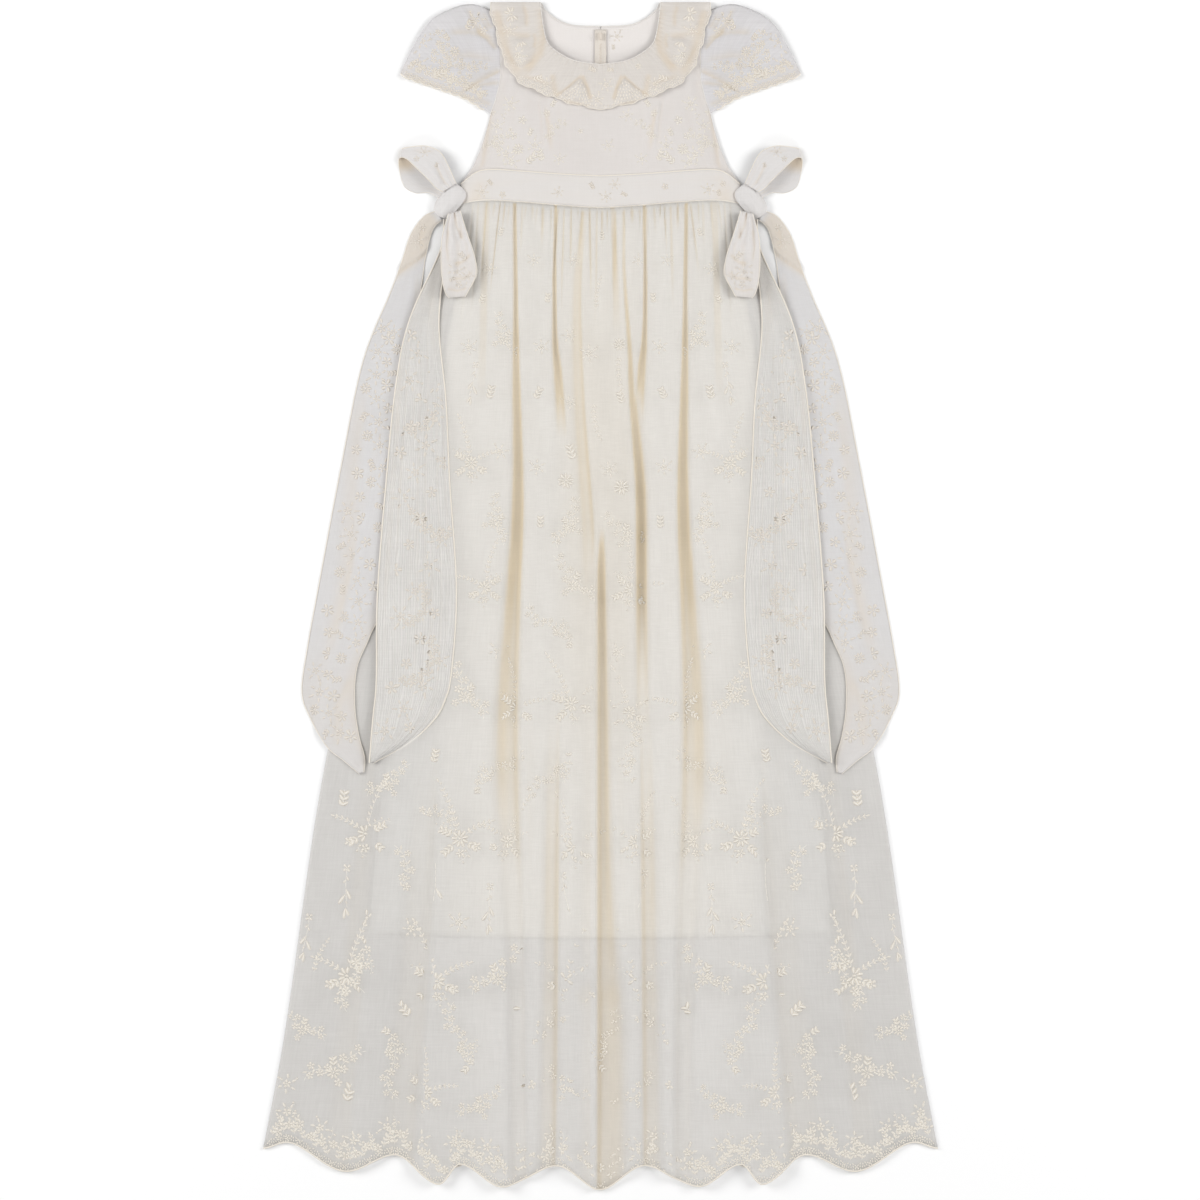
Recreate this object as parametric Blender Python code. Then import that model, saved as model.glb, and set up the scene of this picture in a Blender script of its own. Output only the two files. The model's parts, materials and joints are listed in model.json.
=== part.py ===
"""Christening gown, laid flat on its back: every cut-and-sewn piece as a thin closed wall.

Frame: metres in the file's meshes, +Z up, +Y towards the neck, +X to the right of the front.
The origin is under the middle of the gown, on the surface it lies on. All the sizes below are
in millimetres, and MM turns them into metres when a mesh is placed. Tables for paired pieces
give distances from the centre line, and the side (-1 left, +1 right) sets their sign.
"""
import bisect
import math
from typing import NamedTuple

import bmesh
import bpy
from mathutils import Vector

MM = 0.001
SIDES = {"left": -1, "right": 1}

# Cloth and how it is stacked.
WALL = 1.0            # thickness of every cloth wall
SEAM = 0.3            # gap between two pieces at a seam
LAY = 0.3             # gap between two layers that lie on each other
LAYER = WALL + LAY    # height of one layer in the stack
RIBBON_CLEARANCE = 0.5    # under the sash pieces, which lie over uneven cloth
RIBBON_REACH = 6.0    # how far round itself a ribbon bridges the dips below it
RIBBON_DROP = (4.0, 24.0)     # past the skirt's edge it comes down to the surface
RIBBON_LAYER = WALL + RIBBON_CLEARANCE

# Heights along the gown, measured from its middle.
SHOULDER_TOP = 530.0
COLLAR_TOP = 535.0
ARMHOLE_TOP = 525.0
UNDERARM = 432.5
BACK_NECK = 511.0
FRONT_NECK = 475.7
BAND_SIDE_TOP = 369.3
LINING_HEM = -304.0
LINING_HEM_SAG = 5.0

# Widths, from the centre line.
NECK_HALF = 54.0
SHOULDER_HALF = 98.0
BAND_HALF = 125.6
PANEL_COLUMNS = 14    # columns of half a bodice panel or waistband, which share their seam points
NECK_SHARE = 9 / PANEL_COLUMNS    # share of a bodice panel's columns that end at the neckline
LINING_HALF_WAIST = 111.0
LINING_HALF_HEM = 209.0

# How the front stands up over what lies inside it, and where the back stands on its collar.
LINING_STACK = 2 * LAYER + 0.3
EDGE_RAMP = 14.0      # width over which the front comes down to the side seam
GATHERS = 21
GATHER_HEIGHT = 1.3
GATHER_LENGTH = 55.0
COLLAR_WIDTH = 40.0
CREST_SHARE = 0.45    # share of the half width at which the crests begin to come down
GATHER_SHARES = (0.72, 0.92)      # shares of the half width where the gathers die away
BACK_RISE_HEIGHTS = (430.0, 462.0)    # the back panels rise onto the back collar
BACK_RISE_EDGE = (103.0, 118.0)       # and come down again in the sleeve
SHOULDER_DROP = (452.0, 527.0)    # the front comes down to the shoulder seam
LINING_DROP = (62.0, 32.0)    # below the lining's hem the skirt comes down between these

CREAM = (0.80, 0.75, 0.67, 1.0)
VOILE = (0.82, 0.79, 0.74, 1.0)
BAND_WHITE = (0.84, 0.81, 0.77, 1.0)
LINING_WHITE = (0.88, 0.87, 0.84, 1.0)
ZIP_BEIGE = (0.72, 0.60, 0.50, 1.0)
CLOTH_ROUGHNESS = 0.9
ZIP_ROUGHNESS = 0.45


class EdgeRow(NamedTuple):
    """Half the width of a panel at one height."""
    height: float
    half_width: float


class LineRow(NamedTuple):
    """Height of a seam or hem at one distance from the centre line."""
    across: float
    height: float


class Point(NamedTuple):
    """One corner point of a piece's outline, by distance from the centre line."""
    across: float
    height: float


class Valley(NamedTuple):
    """One trough between two skirt folds, from where it starts to where it fades."""
    at_start: float
    at_middle: float
    at_end: float
    start: float
    end: float
    half_width: float
    depth: float


class RibbonRow(NamedTuple):
    """One section across a sash piece: its outer rim and its inner rim."""
    outer_across: float
    outer_height: float
    inner_across: float
    inner_height: float


class LoopRow(NamedTuple):
    """One section across a bow loop, with its height above what it lies on."""
    outer_across: float
    outer_height: float
    inner_across: float
    inner_height: float
    rise: float


SKIRT_EDGE = [
    EdgeRow(-498.0, 303.3),
    EdgeRow(-400.5, 285.0),
    EdgeRow(-148.5, 247.0),
    EdgeRow(94.5, 189.5),
    EdgeRow(351.0, 128.0),
]

# The main fold on each side, which the skirt's columns follow.
SIDE_FOLD = [
    EdgeRow(-510.0, 90.0),
    EdgeRow(-285.0, 87.0),
    EdgeRow(-100.0, 80.0),
    EdgeRow(99.0, 75.0),
    EdgeRow(178.0, 73.0),
    EdgeRow(351.0, 76.0),
]

BODICE_EDGE = [
    EdgeRow(BAND_SIDE_TOP, BAND_HALF),
    EdgeRow(384.0, 114.8),
    EdgeRow(401.0, 107.6),
    EdgeRow(421.7, 101.3),
    EdgeRow(UNDERARM, 98.6),
    EdgeRow(445.0, 94.1),
    EdgeRow(462.0, 89.8),
    EdgeRow(487.0, 89.6),
    EdgeRow(505.0, 92.5),
    EdgeRow(ARMHOLE_TOP, SHOULDER_HALF),
]

BAND_TOP = [
    LineRow(0.0, 375.8),
    LineRow(36.5, 377.6),
    LineRow(72.5, 380.3),
    LineRow(97.7, 381.8),
    LineRow(110.5, 379.8),
    LineRow(BAND_HALF, BAND_SIDE_TOP),
]

WAIST_SEAM = [
    LineRow(0.0, 347.0),
    LineRow(22.0, 348.0),
    LineRow(72.5, 352.3),
    LineRow(106.0, 354.0),
    LineRow(130.0, 350.5),
]

# Low and high turning points of the scalloped hem.
HEM_TURNS = [
    LineRow(0.0, -535.0),
    LineRow(38.0, -513.0),
    LineRow(88.5, -531.5),
    LineRow(126.5, -511.5),
    LineRow(144.5, -529.5),
    LineRow(185.0, -503.5),
    LineRow(229.0, -518.5),
    LineRow(284.0, -492.5),
    LineRow(303.3, -498.0),
]

FRONT_NECKLINE = [
    Point(0.0, FRONT_NECK),
    Point(22.0, 479.0),
    Point(36.0, 485.5),
    Point(47.0, 495.0),
    Point(51.0, 508.0),
    Point(NECK_HALF, SHOULDER_TOP),
]

BACK_NECKLINE = [
    Point(0.0, BACK_NECK),
    Point(27.0, 512.5),
    Point(42.0, 519.0),
    Point(NECK_HALF, SHOULDER_TOP),
]

COLLAR_EDGE = [
    Point(0.0, 435.5),
    Point(22.0, 439.5),
    Point(42.0, 446.0),
    Point(58.0, 452.0),
    Point(72.0, 459.5),
    Point(83.0, 473.0),
    Point(89.5, 490.0),
    Point(94.5, 508.0),
    Point(99.0, 526.0),
]

BACK_COLLAR_EDGE = [
    Point(0.0, BACK_NECK - COLLAR_WIDTH),
    Point(38.0, 472.5),
    Point(68.0, 485.0),
    Point(88.0, 506.0),
    Point(97.0, 524.0),
]

SLEEVE_FOLD = [
    Point(SHOULDER_HALF + SEAM, ARMHOLE_TOP),
    Point(114.0, 529.0),
    Point(131.0, 524.0),
    Point(150.0, 512.5),
    Point(167.0, 488.0),
    Point(178.5, 467.0),
]

SLEEVE_HEM = [
    Point(178.5, 467.0),
    Point(163.0, 461.5),
    Point(138.0, 453.0),
    Point(122.0, 447.0),
    Point(104.5, 436.5),
]
SLEEVE_SCALLOPS = 5
SLEEVE_SCALLOP_DEPTH = 1.6
SLEEVE_PUFF = 3.2
SLEEVE_FOLD_RISE = 1.7    # the upper layer stands up along the shoulder fold
SLEEVE_FOLD_BULGE = 0.4
SLEEVE_GATHERS = 6
SLEEVE_GATHER_HEIGHT = 0.7

COLLAR_WAVES = 11
COLLAR_WAVE_HEIGHT = 4.5
COLLAR_SCALLOP_DEPTH = 1.8
COLLAR_LIE = LAYER + 0.3    # height of the flounce over the bodice
BACK_COLLAR_WAVES = 5

# Height of the folds' crests over the stack below, along the gown.
CRESTS = [
    LineRow(-535.0, 4.0),
    LineRow(-300.0, 5.5),
    LineRow(-150.0, 7.0),
    LineRow(100.0, 8.0),
    LineRow(300.0, 6.5),
    LineRow(351.0, 3.0),
    LineRow(400.0, 2.5),
    LineRow(SHOULDER_TOP, 2.0),
]

VALLEYS = [
    Valley(-101.0, -102.0, -106.0, 351.0, 215.0, 7.0, 0.45),
    Valley(-76.0, -73.0, -80.0, 351.0, -100.0, 10.0, 0.95),
    Valley(-80.0, -84.0, -90.0, -60.0, -520.0, 15.0, 0.55),
    Valley(-40.0, -41.0, -36.0, 351.0, 180.0, 7.0, 0.80),
    Valley(-19.0, -14.0, -5.0, 340.0, 100.0, 8.0, 0.45),
    Valley(0.0, 6.0, 1.0, 60.0, -520.0, 9.0, 0.90),
    Valley(10.0, 12.0, 14.0, 345.0, 240.0, 6.0, 0.35),
    Valley(22.0, 26.0, 40.0, 345.0, -110.0, 8.0, 0.85),
    Valley(39.0, 40.0, 35.0, 345.0, 165.0, 6.0, 0.55),
    Valley(67.0, 68.0, 69.0, 340.0, 290.0, 5.0, 0.40),
    Valley(76.0, 73.0, 80.0, 351.0, -100.0, 10.0, 0.95),
    Valley(80.0, 84.0, 90.0, -60.0, -520.0, 15.0, 0.55),
    Valley(101.0, 102.0, 106.0, 351.0, 215.0, 7.0, 0.45),
    Valley(-58.0, -62.0, -66.0, -230.0, -520.0, 7.0, 0.35),
    Valley(60.0, 64.0, 68.0, -230.0, -520.0, 7.0, 0.35),
]
VALLEY_FADE = 60.0

BODICE_FOLDS = [
    Valley(-52.0, -51.0, -48.0, 432.0, 384.0, 5.0, 0.8),
    Valley(52.0, 51.0, 48.0, 432.0, 384.0, 5.0, 0.8),
]
BODICE_FOLD_FADE = 14.0

OUTER_TAIL = [
    RibbonRow(147.3, 344.9, 142.7, 336.9),
    RibbonRow(158.9, 339.8, 150.8, 330.8),
    RibbonRow(170.6, 323.6, 153.5, 320.9),
    RibbonRow(178.7, 299.3, 158.0, 299.3),
    RibbonRow(189.5, 270.5, 161.6, 272.3),
    RibbonRow(213.8, 209.3, 173.3, 202.1),
    RibbonRow(233.6, 113.9, 182.3, 112.1),
    RibbonRow(253.4, 8.6, 191.3, 4.1),
    RibbonRow(263.3, -45.5, 207.5, -37.4),
    RibbonRow(268.7, -86.0, 219.2, -66.2),
    RibbonRow(262.4, -108.5, 221.0, -99.5),
    RibbonRow(246.2, -136.4, 217.4, -126.5),
    RibbonRow(230.9, -149.0, 212.0, -146.3),
    RibbonRow(216.5, -161.1, 212.9, -159.8),
]

INNER_TAIL = [
    RibbonRow(142.0, 336.9, 136.0, 336.9),
    RibbonRow(144.5, 319.1, 138.6, 319.1),
    RibbonRow(150.8, 301.0, 140.0, 299.3),
    RibbonRow(171.5, 247.0, 145.4, 242.6),
    RibbonRow(183.2, 193.0, 139.0, 175.0),
    RibbonRow(192.2, 104.9, 135.5, 103.0),
    RibbonRow(200.3, 0.5, 129.2, 4.1),
    RibbonRow(201.2, -77.0, 133.7, -69.8),
    RibbonRow(203.9, -107.6, 140.0, -95.9),
    RibbonRow(205.7, -128.3, 149.9, -113.0),
    RibbonRow(206.6, -141.8, 171.5, -132.8),
    RibbonRow(207.5, -151.2, 203.9, -150.8),
]

UPPER_LOOP = [
    LoopRow(144.7, 356.4, 133.1, 368.1, 4.0),
    LoopRow(155.3, 361.8, 139.0, 376.7, 1.2),
    LoopRow(166.0, 361.4, 149.9, 388.4, 0.0),
    LoopRow(176.0, 366.8, 162.5, 395.6, 0.0),
    LoopRow(180.2, 379.0, 172.0, 398.6, 0.2),
    LoopRow(181.0, 391.5, 178.4, 400.5, 2.6),
    LoopRow(174.5, 391.5, 170.0, 402.0, 5.5),
    LoopRow(163.4, 381.2, 156.2, 402.3, 8.0),
    LoopRow(153.5, 371.3, 143.6, 396.5, 8.5),
    LoopRow(147.2, 364.6, 135.5, 382.1, 7.8),
    LoopRow(141.3, 361.6, 129.6, 368.7, 7.0),
]

LOWER_LOOP = [
    LoopRow(135.9, 341.2, 125.8, 343.8, 2.5),
    LoopRow(141.8, 320.9, 119.3, 322.7, 0.0),
    LoopRow(142.7, 299.3, 113.0, 302.9, 0.0),
    LoopRow(140.9, 279.5, 111.2, 286.7, 0.0),
    LoopRow(136.5, 268.8, 120.5, 270.0, 0.3),
    LoopRow(135.9, 266.4, 121.4, 267.4, 1.6),
    LoopRow(138.6, 269.6, 119.0, 271.0, 3.2),
    LoopRow(141.4, 280.0, 111.7, 287.0, 4.4),
    LoopRow(142.9, 299.3, 112.8, 302.9, 4.8),
    LoopRow(141.9, 320.9, 119.3, 322.7, 4.6),
    LoopRow(136.2, 341.4, 126.0, 344.0, 4.6),
]

# Past the lower piece's rim, the upper one comes down between these distances.
TAIL_OVERLAP = (3.0, 20.0)
LOOP_OVERLAP = (3.0, 14.0)
TAIL_MEET = (240.0, 290.0)    # above these heights the two tails lie on each other

KNOT_CENTRE = (135.4, 352.5)
KNOT_TILT = math.radians(51.0)
KNOT_LENGTH = 30.0
KNOT_WIDTH = 18.0
KNOT_HEIGHT = 14.0
KNOT_WAIST = 0.42     # share of the knot's height that lies below its widest level
KNOT_SEAT = 2 * LAYER + 0.1    # the knot lies on the edge of the waistband
KNOT_SEAT_SPAN = (4.0, 9.0)
KNOT_CREASES = 6
KNOT_CREASE_DEPTH = 0.05
KNOT_EXIT_RISE = 1.6
KNOT_EXIT_SPAN = (12.0, 38.0)

ZIP_WIDTH = 18.0
ZIP_BOTTOM = 352.0
ZIP_TOP = 508.0
COIL_WIDTH = 3.2
COIL_HEIGHT = 0.8
SLIDER_SIZE = (4.4, 8.0, 2.0)
SLIDER_ROUNDING = 1.2


def smooth_step(start, stop, value):
    """Rises softly from 0 at start to 1 at stop."""
    share = min(max((value - start) / (stop - start), 0.0), 1.0)
    return share * share * (3.0 - 2.0 * share)


def blend(first, second, share):
    """The value that lies a share of the way from first to second."""
    return first + (second - first) * share


def slope_at(stations, values, index):
    """Slope of a table at one of its rows, from the rows on both sides."""
    before = max(index - 1, 0)
    after = min(index + 1, len(stations) - 1)
    return (values[after] - values[before]) / (stations[after] - stations[before])


def smooth_table(stations, values, at):
    """Reads a smooth curve through a table's rows, level past its two ends."""
    if at <= stations[0]:
        return values[0]
    if at >= stations[-1]:
        return values[-1]
    index = bisect.bisect_right(stations, at) - 1
    span = stations[index + 1] - stations[index]
    share = (at - stations[index]) / span
    first_slope = slope_at(stations, values, index) * span
    second_slope = slope_at(stations, values, index + 1) * span
    square = share * share
    cube = square * share
    return (
        values[index] * (2 * cube - 3 * square + 1)
        + first_slope * (cube - 2 * square + share)
        + values[index + 1] * (3 * square - 2 * cube)
        + second_slope * (cube - square)
    )


def read_edge(rows, height):
    """Half width of a panel at a height."""
    return smooth_table([row.height for row in rows], [row.half_width for row in rows], height)


def read_line(rows, across):
    """Height of a seam line at a distance from the centre."""
    return smooth_table([row.across for row in rows], [row.height for row in rows], abs(across))


def hem_height(across):
    """Height of the scalloped hem, rounded at every lobe and notch."""
    stations = [turn.across for turn in HEM_TURNS]
    index = min(bisect.bisect_right(stations, abs(across)), len(stations) - 1)
    first = HEM_TURNS[index - 1]
    second = HEM_TURNS[index]
    share = smooth_step(first.across, second.across, abs(across))
    return blend(first.height, second.height, share)


def crest_height(height):
    """How high the folds stand over the stack at a height along the gown."""
    return smooth_table([row.across for row in CRESTS], [row.height for row in CRESTS], height)


def path_point(points, share):
    """Point a share of the way along a smooth line through the given points."""
    stations = [0.0]
    for first, second in zip(points, points[1:]):
        step = math.hypot(second.across - first.across, second.height - first.height)
        stations.append(stations[-1] + step)
    at = share * stations[-1]
    across = smooth_table(stations, [point.across for point in points], at)
    height = smooth_table(stations, [point.height for point in points], at)
    return Point(across, height)


def skirt_half(height):
    """Half width of the skirt at a height."""
    return read_edge(SKIRT_EDGE, height)


def bodice_half(height):
    """Half width of the bodice, straight between the table's rows, where its panels have points."""
    heights = [row.height for row in BODICE_EDGE]
    if height <= heights[0]:
        return BODICE_EDGE[0].half_width
    index = min(bisect.bisect_right(heights, height), len(heights) - 1)
    first = BODICE_EDGE[index - 1]
    second = BODICE_EDGE[index]
    share = min((height - first.height) / (second.height - first.height), 1.0)
    return blend(first.half_width, second.half_width, share)


def lining_half(height):
    """Half width of the lining at a height, straight from waist to hem."""
    share = (WAIST_SEAM[0].height - height) / (WAIST_SEAM[0].height - LINING_HEM)
    return blend(LINING_HALF_WAIST, LINING_HALF_HEM, share)


def lining_hem_height(across):
    """The lining's hem hangs a little lower in the middle."""
    return LINING_HEM - LINING_HEM_SAG * (1.0 - (across / LINING_HALF_HEM) ** 2)


def valley_depth(valleys, across, height, fade):
    """Share of the crest that is left at a point, 1 on a crest and less in a trough."""
    left = 1.0
    for valley in valleys:
        if height > valley.start + fade or height < valley.end - fade:
            continue
        share = min(max((valley.start - height) / (valley.start - valley.end), 0.0), 1.0)
        stations = [0.0, 0.5, 1.0]
        centre = smooth_table(stations, [valley.at_start, valley.at_middle, valley.at_end], share)
        strength = smooth_step(valley.end - fade / 2, valley.end + fade / 2, height)
        strength *= 1.0 - smooth_step(valley.start, valley.start + fade, height)
        offset = (across - centre) / valley.half_width
        left *= 1.0 - valley.depth * strength * math.exp(-offset * offset)
    return left


def back_rise(across, height):
    """Height of the back panels over the surface, where the back collar lies under them."""
    over_collar = smooth_step(*BACK_RISE_HEIGHTS, height)
    inside_armhole = 1.0 - smooth_step(*BACK_RISE_EDGE, abs(across))
    return LAYER * over_collar * inside_armhole


def front_base(across, half):
    """Middle of a front wall that rests on the back wall at the edge and on the lining inside."""
    inside = smooth_step(0.0, EDGE_RAMP, half - abs(across))
    return WALL / 2 + LAYER + LINING_STACK * inside


def edge_share(across, half):
    """1 over the middle of a panel, softly down to 0 at its side edge."""
    return 1.0 - smooth_step(CREST_SHARE, 1.0, abs(across) / half)


def band_middle(across, height):
    """Middle of the front waistband's wall."""
    half = BAND_HALF
    return front_base(across, half) + crest_height(height) * edge_share(across, half)


def bodice_middle(across, height):
    """Middle of the front bodice's wall, down on the back panel along the shoulder."""
    half = bodice_half(height)
    below_shoulder = 1.0 - smooth_step(*SHOULDER_DROP, height)
    stack = (front_base(across, half) - WALL / 2 - LAYER) * below_shoulder
    crest = crest_height(height) * edge_share(across, half) * below_shoulder
    crest *= valley_depth(BODICE_FOLDS, across, height, BODICE_FOLD_FADE)
    return WALL / 2 + LAYER + back_rise(across, height) + stack + crest


def over_lining(across, height):
    """1 where the lining lies below, softly down to 0 past its edges and its hem."""
    half = lining_half(height)
    beside = 1.0 - smooth_step(half + 2.0, half + 2.0 + EDGE_RAMP, abs(across))
    below = smooth_step(LINING_HEM - LINING_DROP[0], LINING_HEM - LINING_DROP[1], height)
    return beside * below


def gathers(across, height):
    """Small gathers that run down from the waist seam and fade."""
    seam = read_line(WAIST_SEAM, across)
    fade = 1.0 - smooth_step(0.0, GATHER_LENGTH, seam - height)
    middle = 1.0 - smooth_step(*GATHER_SHARES, abs(across) / skirt_half(height))
    wave = 0.5 - 0.5 * math.cos(2.0 * math.pi * GATHERS * across / (2.0 * BAND_HALF))
    return GATHER_HEIGHT * fade * middle * wave


def skirt_middle(across, height):
    """Middle of the front skirt's wall."""
    half = skirt_half(height)
    crest = crest_height(height) * edge_share(across, half)
    crest *= valley_depth(VALLEYS, across, height, VALLEY_FADE)
    stack = LINING_STACK * over_lining(across, height)
    return WALL / 2 + LAYER + stack + crest + gathers(across, height)


def ribbon_lie(across, height):
    """Place for the middle of a ribbon that lies over the skirt's side edge."""
    half = skirt_half(height)
    beyond = abs(across) - half
    if beyond <= 0.0:
        return skirt_middle(across, height) + RIBBON_LAYER
    on_skirt = skirt_middle(half, height) + RIBBON_LAYER
    return blend(on_skirt, WALL / 2, smooth_step(*RIBBON_DROP, beyond))


def ribbon_rest(across, height):
    """The same, over the highest place near by, because a ribbon is too stiff to follow dips."""
    return max(
        ribbon_lie(across + RIBBON_REACH * right, height + RIBBON_REACH * up)
        for right, up in ((0, 0), (1, 0), (-1, 0), (0, 1), (0, -1))
    )


def fabric_material(name, colour, roughness):
    material = bpy.data.materials.new(name)
    material.use_nodes = True
    shader = material.node_tree.nodes["Principled BSDF"]
    shader.inputs["Base Color"].default_value = colour
    shader.inputs["Roughness"].default_value = roughness
    shader.inputs["Metallic"].default_value = 0.0
    return material


def add_object(name, mesh, colour, roughness=CLOTH_ROUGHNESS):
    """Puts a finished mesh into the scene with a material of its own."""
    mesh.shade_smooth()
    mesh.set_sharp_from_angle(angle=math.radians(40.0))
    piece = bpy.data.objects.new(name, mesh)
    piece.data.materials.append(fabric_material(name + "_finish", colour, roughness))
    bpy.context.scene.collection.objects.link(piece)
    return piece


def cloth(name, columns, rows, place, colour, roughness=CLOTH_ROUGHNESS):
    """Makes a wall of cloth from a grid, whose points place(column, row) gives in millimetres."""
    shape = bmesh.new()
    bmesh.ops.create_grid(shape, x_segments=columns, y_segments=rows, size=1.0)
    for vert in shape.verts:
        column = round((vert.co.x + 1.0) / 2.0 * columns)
        row = round((vert.co.y + 1.0) / 2.0 * rows)
        vert.co = Vector(place(column, row)) * MM
    mesh = bpy.data.meshes.new(name)
    shape.to_mesh(mesh)
    shape.free()
    piece = add_object(name, mesh, colour, roughness)
    wall = piece.modifiers.new("wall", "SOLIDIFY")
    wall.thickness = WALL * MM
    wall.offset = 0.0
    wall.use_even_offset = True
    wall.use_quality_normals = True
    return piece


# Cells of each piece's grid.
SKIRT_COLUMNS = 72
BACK_SKIRT_COLUMNS = 60
COLLAR_COLUMNS = 66
COLLAR_ROWS = 3
COLLAR_WRAP = 3       # columns at each end that turn down over the shoulder
BACK_COLLAR_COLUMNS = 20
BACK_COLLAR_ROWS = 2
SLEEVE_COLUMNS = 7
LINING_COLUMNS = 16
LINING_ROWS = 3
BAND_ROWS = 2
ZIP_ROWS = 12
TAIL_COLUMNS = 5
TAIL_ROWS = 20
LOOP_COLUMNS = 5
LOOP_ROWS = 16

# How far down the skirt each row of its grid lies, and how far down the sleeve.
SKIRT_ROWS = [0.0, 12.0, 30.0, 60.0, 110.0, 180.0, 270.0, 370.0, 480.0, 585.0,
              663.0, 692.0, 740.0, 800.0, 860.0]
BACK_SKIRT_ROWS = [0.0, 430.0, 860.0]
SLEEVE_DOWNS = [1.0, 0.9, 0.8, 0.7, 0.6, 0.5, 0.4, 0.3, 0.2, 0.1, 0.02]


def skirt_column_across(column, columns, height):
    """Where a column of the skirt's grid stands at a height: half of each side in from its fold."""
    share = 2.0 * column / columns - 1.0
    fold = read_edge(SIDE_FOLD, height)
    half = skirt_half(height)
    if abs(share) <= 0.5:
        return fold * share / 0.5
    return math.copysign(blend(fold, half, (abs(share) - 0.5) / 0.5), share)


def skirt_point(column, row, columns, row_depths, middle):
    """One point of a skirt panel: rows go down from the waist seam to the scalloped hem."""
    at_waist = skirt_column_across(column, columns, WAIST_SEAM[0].height)
    at_hem = skirt_column_across(column, columns, HEM_TURNS[-1].height)
    top = read_line(WAIST_SEAM, at_waist)
    bottom = hem_height(at_hem)
    share = row_depths[row] / row_depths[-1]
    height = blend(top, bottom, share)
    across = skirt_column_across(column, columns, height)
    return across, height, middle(across, height)


def build_skirts():
    def front_point(column, row):
        return skirt_point(column, row, SKIRT_COLUMNS, SKIRT_ROWS, skirt_middle)

    def back_point(column, row):
        return skirt_point(column, row, BACK_SKIRT_COLUMNS, BACK_SKIRT_ROWS,
                           lambda across, height: WALL / 2)

    cloth("front_skirt", SKIRT_COLUMNS, len(SKIRT_ROWS) - 1, front_point, VOILE)
    cloth("back_skirt", BACK_SKIRT_COLUMNS, len(BACK_SKIRT_ROWS) - 1, back_point, VOILE)


def build_linings():
    def lining_point(column, row, middle):
        share = 2.0 * column / LINING_COLUMNS - 1.0
        top = read_line(WAIST_SEAM, share * LINING_HALF_WAIST) - SEAM
        height = blend(top, lining_hem_height(share * LINING_HALF_HEM), row / LINING_ROWS)
        return share * lining_half(height), height, middle

    for name, layer in (("back_lining", 1), ("front_lining", 2)):
        middle = WALL / 2 + layer * LAYER
        cloth(name, LINING_COLUMNS, LINING_ROWS,
              lambda column, row: lining_point(column, row, middle), LINING_WHITE)


def build_waistbands():
    def band_point(across, row):
        top = read_line(BAND_TOP, across) - SEAM / 2
        bottom = read_line(WAIST_SEAM, across) + SEAM
        return blend(bottom, top, row / BAND_ROWS)

    def front_point(column, row):
        across = BAND_HALF * (column / PANEL_COLUMNS - 1.0)
        height = band_point(across, row)
        return across, height, band_middle(across, height)

    cloth("front_waistband", 2 * PANEL_COLUMNS, BAND_ROWS, front_point, BAND_WHITE)
    for side_name, side in SIDES.items():
        def back_point(column, row):
            across = side * blend(SEAM / 2, BAND_HALF, column / PANEL_COLUMNS)
            return across, band_point(across, row), WALL / 2

        cloth("back_waistband_" + side_name, PANEL_COLUMNS, BAND_ROWS, back_point, BAND_WHITE)


def panel_point(share_across, share_up, neckline, centre):
    """Point of half a bodice panel, between its bottom seam and its neckline or shoulder.

    The side seam and the armhole bend the outermost columns in, and the inner ones hardly.
    """
    bottom_across = blend(centre, BAND_HALF, share_across)
    bottom_height = read_line(BAND_TOP, bottom_across) + SEAM / 2
    if share_across <= NECK_SHARE:
        top = path_point(neckline, share_across / NECK_SHARE)
    else:
        along = (share_across - NECK_SHARE) / (1.0 - NECK_SHARE)
        top = Point(blend(NECK_HALF, SHOULDER_HALF, along), blend(SHOULDER_TOP, ARMHOLE_TOP, along))
    side_bend = bodice_half(blend(BAND_SIDE_TOP, ARMHOLE_TOP, share_up))
    side_bend -= blend(BAND_HALF, SHOULDER_HALF, share_up)
    across = blend(bottom_across, max(top.across, centre), share_up)
    return Point(across + side_bend * share_across ** 3, blend(bottom_height, top.height, share_up))


def build_bodices():
    rows = len(BODICE_EDGE) - 1
    side_length = ARMHOLE_TOP - BAND_SIDE_TOP

    def share_up(row):
        return (BODICE_EDGE[row].height - BAND_SIDE_TOP) / side_length

    def front_point(column, row):
        share = column / PANEL_COLUMNS - 1.0
        point = panel_point(abs(share), share_up(row), FRONT_NECKLINE, 0.0)
        across = math.copysign(point.across, share)
        return across, point.height, bodice_middle(across, point.height)

    cloth("front_bodice", 2 * PANEL_COLUMNS, rows, front_point, VOILE)
    for side_name, side in SIDES.items():
        def back_point(column, row):
            point = panel_point(column / PANEL_COLUMNS, share_up(row), BACK_NECKLINE, SEAM / 2)
            middle = WALL / 2 + back_rise(point.across, point.height)
            return side * point.across, point.height, middle

        cloth("back_bodice_" + side_name, PANEL_COLUMNS, rows, back_point, VOILE)


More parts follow.
